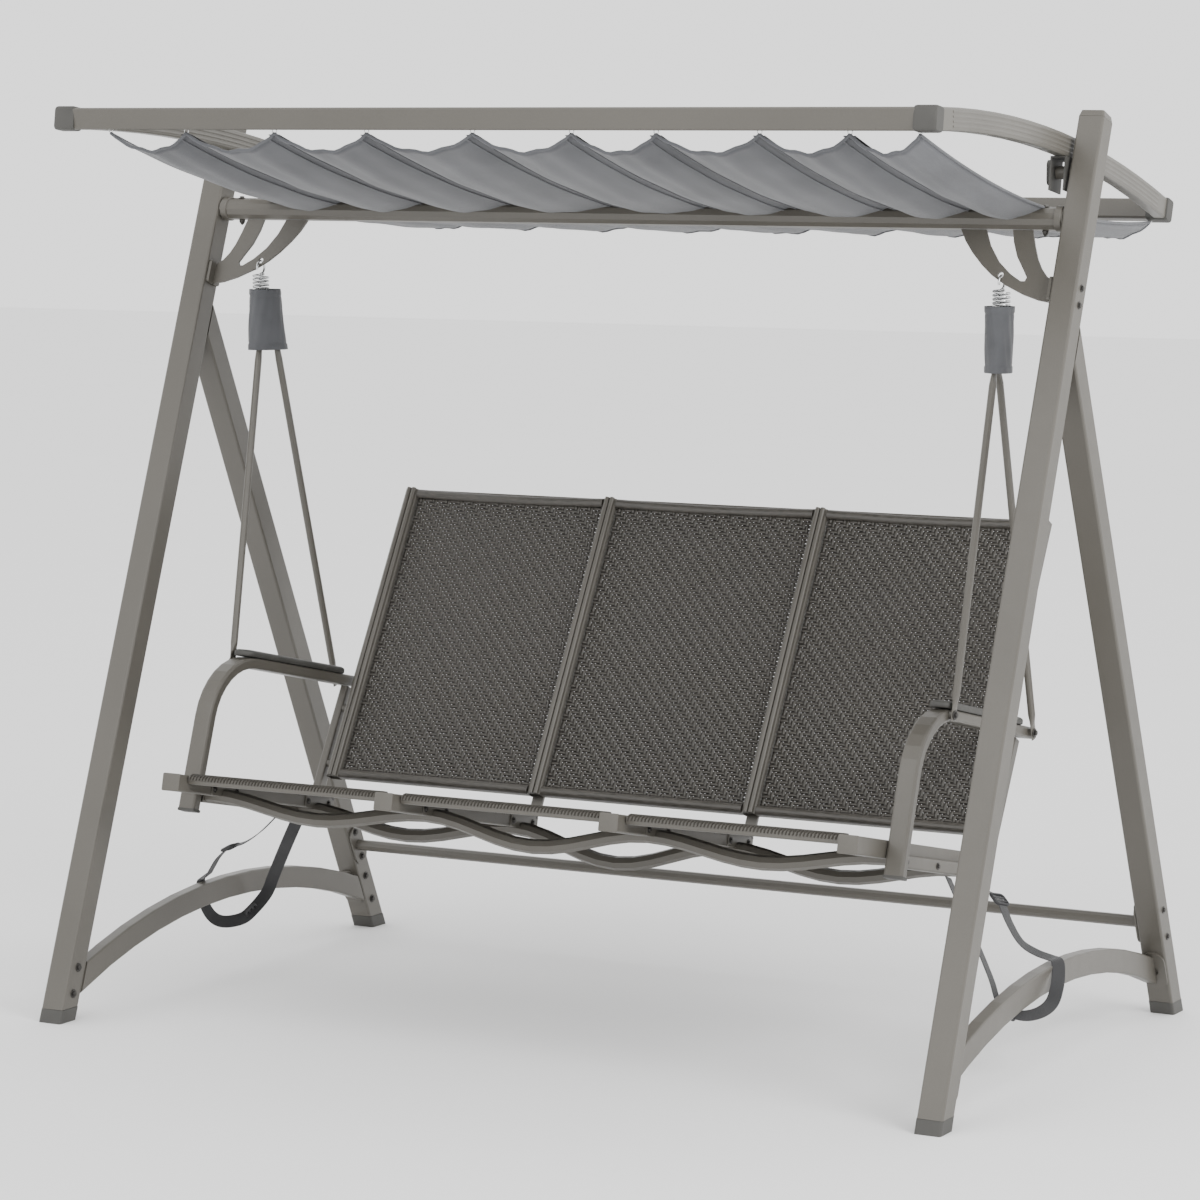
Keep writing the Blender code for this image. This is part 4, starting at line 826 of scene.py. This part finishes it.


# %% [markdown]
# The spring itself is one wire: an open hook over the bracket, ten close turns, and a hook through the
# yoke. On the real swing it stretches when the seat goes down.

# %% Springs
def make_spring(label):
    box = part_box(f"{label}_spring")
    x, y = (box[0].x + box[1].x) / 2, (box[0].y + box[1].y) / 2
    wire, coil, hook, turns, pitch = 0.00225, 0.0148, 0.0125, 10, 0.0071
    top = box[1].z - wire - 2 * hook
    path = []
    for k in range(25):
        a = math.radians(-110 + 290 * k / 24)
        path.append(Vector((x, y + hook * math.sin(a), top + hook + hook * math.cos(a))))
    steps = 24
    for k in range(1, turns * steps):
        a = 2 * math.pi * k / steps
        reach = coil * min(1.0, k / 10, (turns * steps - k) / 10)
        path.append(Vector((x + reach * math.cos(a), y + reach * math.sin(a), top - pitch * k / steps)))
    low = top - turns * pitch - hook
    for k in range(25):
        a = math.radians(290 * k / 24)
        path.append(Vector((x + hook * math.sin(a), y, low + hook * math.cos(a))))
    spring = Form()
    spring.sweep(path, oval(2 * wire, 2 * wire, 10), (1, 0, 0))
    made = spring.make(f"{label}_coil", ZINC, smooth=80)
    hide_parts(f"{label}_spring")
    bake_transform(made)


for label, side in SIDES:
    make_sleeve(label, side)
    make_spring(label)


# %% [markdown]
# Small hardware sells the scale: plugs in the tube ends, caps on the canopy's corners, collars where the
# beam meets the legs, and screws wherever two members join. Screws are turned profiles, six-sided
# for a hexagon head and many-sided for a washer, and all the screws on one body are one mesh.

# %% Screws
def screw(form, place, axis, size=0.0055):
    """A washer and a hexagon head standing on a face."""
    form.turn(place, axis, [(size * 1.55, -0.0004), (size * 1.6, 0.0004), (size * 1.5, 0.0012)], 20)
    head = [(size, 0.0010), (size, size * 0.72), (size * 0.86, size * 0.92), (size * 0.3, size * 0.96)]
    form.turn(place, axis, head, 6)


def nut(form, place, axis, size=0.0055):
    """A dome nut with the screw's end under it."""
    shares = ((1.0, 0.0), (1.0, 0.7), (0.7, 1.2), (0.3, 1.7), (0.05, 1.8))
    form.turn(place, axis, [(size * reach, size * height) for reach, height in shares], 12)


LEAN = math.tan(math.radians(0.53))
LEG_WIDTH = 0.050
FOOT_MIDDLE = (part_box("right_front_foot")[0].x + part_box("right_front_foot")[1].x) / 2
REAR_FOOT_Y = 0.5423
FRONT_FOOT_Y = -0.5430


def leg_line(rear, height):
    """Depth of a leg's centre line at a height."""
    if rear:
        return REAR_FOOT_Y - height * math.tan(math.radians(23.7))
    return FRONT_FOOT_Y + height * math.tan(math.radians(19.85))


def leg_face(height, outer=False):
    reach = LEG_WIDTH / 2 if outer else -LEG_WIDTH / 2
    return FOOT_MIDDLE + LEAN * height + reach


def make_frame_screws():
    screws = Form()
    for _, side in SIDES:
        inward, outward = Vector((-side, 0, 0)), Vector((side, 0, 0))
        for height in (0.164, 0.220):
            y = leg_line(True, height)
            screw(screws, (side * (leg_face(height) - 0.0048), y, height), inward)
            screw(screws, (side * leg_face(height, True), y, height), outward, 0.0045)
        for rear, heights in ((True, (0.064, 0.118)), (False, (0.052, 0.100))):
            for height in heights:
                screw(screws, (side * leg_face(height), leg_line(rear, height), height), inward)
        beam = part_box("top_beam")
        beam_y, beam_top, beam_low = (beam[0].y + beam[1].y) / 2, beam[1].z, beam[0].z
        screw(screws, (side * 0.873, beam_y, beam_top - 0.0005), (0, 0, 1), 0.0045)
        nut(screws, (side * 0.873, beam_y, beam_low + 0.0005), (0, 0, -1), 0.006)
        for height in (1.395, 1.425):
            y = leg_line(False, height)
            screw(screws, (side * leg_face(height, True), y, height), outward, 0.0045)
    screws.make("frame_screws", DARK_STEEL, "frame")


def make_seat_screws():
    screws = Form()
    for label, side in SIDES:
        outward = Vector((side, 0, 0))
        for word in ("front", "rear"):
            place = SEAT @ Vector((0, 0.245 if word == "front" else 0.614, 0.2365))
            foot_x = side * (abs(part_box(f"{label}_arm_pad")[1 if side > 0 else 0].x) + 0.0073)
            screw(screws, (foot_x, place.y, place.z), outward, 0.0055)
        for u in (0.165, 0.300, 0.430):
            place = SEAT @ Vector((0, u, -0.0345))
            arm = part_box(f"{label}_arm_base")
            face = arm[1].x if side > 0 else arm[0].x
            screw(screws, (face, place.y, place.z), outward, 0.0042)
    for x in RAILS:
        for u in (0.112, 0.186, 0.436, 0.510):
            for sign in (-1, 1):
                place = SEAT @ Vector((x + sign * (RAIL_WIDTH / 2 + 0.0026), u, -0.020))
                if abs(place.x) < 0.72:
                    screw(screws, place, (sign, 0, 0), 0.0042)
    screws.make("seat_screws", DARK_STEEL, "seat")


make_frame_screws()
make_seat_screws()


# %% Brackets, plugs, caps and collars
def block(form, centre, size, matrix, corner=0.003, bulge=0.94):
    """A rounded block, its two ends drawn in a little, in a given frame; it runs along x."""
    width, depth, height = size
    path, scales = [], []
    end = bulge - 0.06
    for t, scale in ((0, end), (0.04, bulge), (0.12, 1.0), (0.88, 1.0), (0.96, bulge), (1, end)):
        path.append(matrix @ Vector((centre[0] + width * (t - 0.5), centre[1], centre[2])))
        scales.append(scale)
    form.sweep(path, rounded(depth, height, corner), matrix.to_3x3() @ Vector((0, 0, 1)), scales)


def make_seat_brackets():
    plates = Form()
    for x in RAILS:
        for u in (0.1495, 0.473):
            for sign in (-1, 1):
                centre = x + sign * (RAIL_WIDTH / 2 + 0.0013)
                if abs(centre) < 0.72:
                    block(plates, (centre, u, -0.0195), (0.0024, 0.092, 0.024), SEAT, 0.004, 0.99)
    plates.make("seat_rail_brackets", POWDER, "seat")


def make_plugs():
    plugs = Form()
    quarter = Matrix.Rotation(math.pi / 2, 4, "Z")
    for x in RAILS:
        size = (0.005, RAIL_WIDTH + 0.001, RAIL_DEPTH + 0.001)
        block(plugs, (-0.0015, -x, -RAIL_DEPTH / 2), size, SEAT @ quarter)
    plugs.make("seat_rail_plugs", POWDER, "seat")
    feet = Form()
    for label, _ in SIDES:
        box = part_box(f"{label}_arm")
        place = Vector(((box[0].x + box[1].x) / 2, 0.1202, -0.0645))
        down = Matrix.Rotation(math.pi / 2, 4, "Y")
        lean = SEAT @ Matrix.Translation(place) @ Matrix.Rotation(math.radians(-6), 4, "X") @ down
        block(feet, (0, 0, 0), (0.006, 0.0235, 0.0395), lean)
    feet.make("arm_plugs", PLASTIC, "seat")


def make_canopy_caps():
    caps = Form()
    for _, side in SIDES:
        for box, tilt in ((front_box, 1.0), (rear_box, -9.0)):
            edge = box[1].x
            centre = (side * (edge - 0.0190), (box[0].y + box[1].y) / 2, (box[0].z + box[1].z) / 2)
            turn = Matrix.Translation(centre) @ Matrix.Rotation(math.radians(tilt - 8.5), 4, "X")
            block(caps, (0, 0, 0), (0.0440, 0.0300, 0.0450), turn, 0.006, 0.97)
    caps.make("canopy_corner_caps", PLASTIC, "canopy")


def make_collars():
    collars = Form()
    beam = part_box("top_beam")
    radius = (beam[1].z - beam[0].z) / 2
    y, z = (beam[0].y + beam[1].y) / 2, (beam[0].z + beam[1].z) / 2
    for _, side in SIDES:
        inner = beam[1].x
        inner_edge, outer_edge = radius + 0.0004, radius + 0.0022
        profile = [(inner_edge, 0.0), (outer_edge, 0.0012), (outer_edge, 0.013), (inner_edge, 0.0145)]
        collars.turn((side * (inner - 0.0165), y, z), (side, 0, 0), profile, 40)
    collars.make("beam_collars", POWDER, "frame")


make_seat_brackets()
make_plugs()
make_canopy_caps()
make_collars()

# %% [markdown]
# The armrests carry a soft-cornered plastic pad. Its ends are round in plan and its top is slightly
# crowned, so the outline is drawn from above and lifted in five levels that draw in towards the top.

# %% Arm pads
PAD_LENGTH, PAD_WIDTH, PAD_THICKNESS, PAD_MIDDLE = 0.357, 0.044, 0.013, 0.4065


def make_pad(label):
    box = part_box(f"{label}_arm_pad")
    x = (box[0].x + box[1].x) / 2
    base = 0.2365 + 0.011 + 0.0003
    pad = Form()
    rings = []
    levels = ((0.0, 0.0016), (0.0014, 0.0), (0.0080, 0.0), (0.0108, 0.0016), (PAD_THICKNESS, 0.0060))
    for level, shrink in levels:
        outline = rounded(PAD_LENGTH - 2 * shrink, PAD_WIDTH - 2 * shrink, PAD_WIDTH / 2 - shrink - 0.002, 8)
        rings.append([SEAT @ Vector((x - b, PAD_MIDDLE + a, base + level)) for a, b in reversed(outline)])
    pad.add(rings)
    made = pad.make(f"{label}_rest_pad", PLASTIC, "seat", smooth=50)
    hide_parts(f"{label}_arm_pad")


for label, _ in SIDES:
    make_pad(label)


# %% [markdown]
# The rails at the canopy's sides are a pressed profile: three shallow grooves run along their
# outer face. Swept ribs between the grooves catch the light better than a bump would.

# %% Side rail ribs
def rail_line(count):
    """Places along the middle of a side rail, from the arc through its own box."""
    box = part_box("right_canopy_rail")
    front = Vector((0, -0.520, 1.7176))
    rear = Vector((0, 0.531, 1.5606))
    rise = 0.044
    length = (rear - front).length
    radius = (length ** 2 / 4 + rise ** 2) / (2 * rise)
    ahead = (rear - front).normalized()
    up = Vector((0, -ahead.z, ahead.y))
    centre = (front + rear) / 2 + up * (rise - radius)
    spread = math.asin(length / 2 / radius) - 0.018
    line = []
    for k in range(count + 1):
        a = -spread + 2 * spread * k / count
        outward = up * math.cos(a) + ahead * math.sin(a)
        line.append((centre + radius * outward, outward))
    return line, box


def make_ribs():
    ribs = Form()
    line, box = rail_line(40)
    for _, side in SIDES:
        for face in (box[0].x, box[1].x):
            for height in (-0.0125, -0.0042, 0.0042, 0.0125):
                path = [Vector((side * face, p.y, p.z)) + up * height for p, up in line]
                ribs.sweep(path, oval(0.0050, 0.0016, 8), (1, 0, 0))
    ribs.make("canopy_rail_ribs", LIT_GROOVED, "canopy")


make_ribs()

# %% [markdown]
# The solids that still show take their finish from what they are made of: powder coat on steel
# members, plastic on feet, saddles and knobs, zinc on the yokes. Smooth shading is limited by
# angle, so round tubes look round and folded edges stay crisp.

# %% Finishes on the solids
FINISH_OF_SLOT = {
    "painted_frame": POWDER, "dark_plastic": PLASTIC, "zinc_steel": ZINC,
    "woven_strand": CROSS_STRAND, "canopy_fabric": CLOTH, "strap_webbing": WEBBING,
}
SLOTS = {part["node"]: part["material_slot"] for part in frame["record"]["subparts"]}


def dress(name, node):
    material = FINISH_OF_SLOT[SLOTS[name]]
    # The canopy's side rails take the lighter copy of the coat, which is painted light.
    if name.endswith("canopy_rail"):
        material = LIT_GROOVED
    node.data.materials.clear()
    node.data.materials.append(material)
    node.data.polygons.foreach_set("use_smooth", [True] * len(node.data.polygons))
    node.data.set_sharp_from_angle(angle=math.radians(32))


for name, node in frame["nodes"].items():
    dress(name, node)
print("dressed", len(frame["nodes"]), "solids")
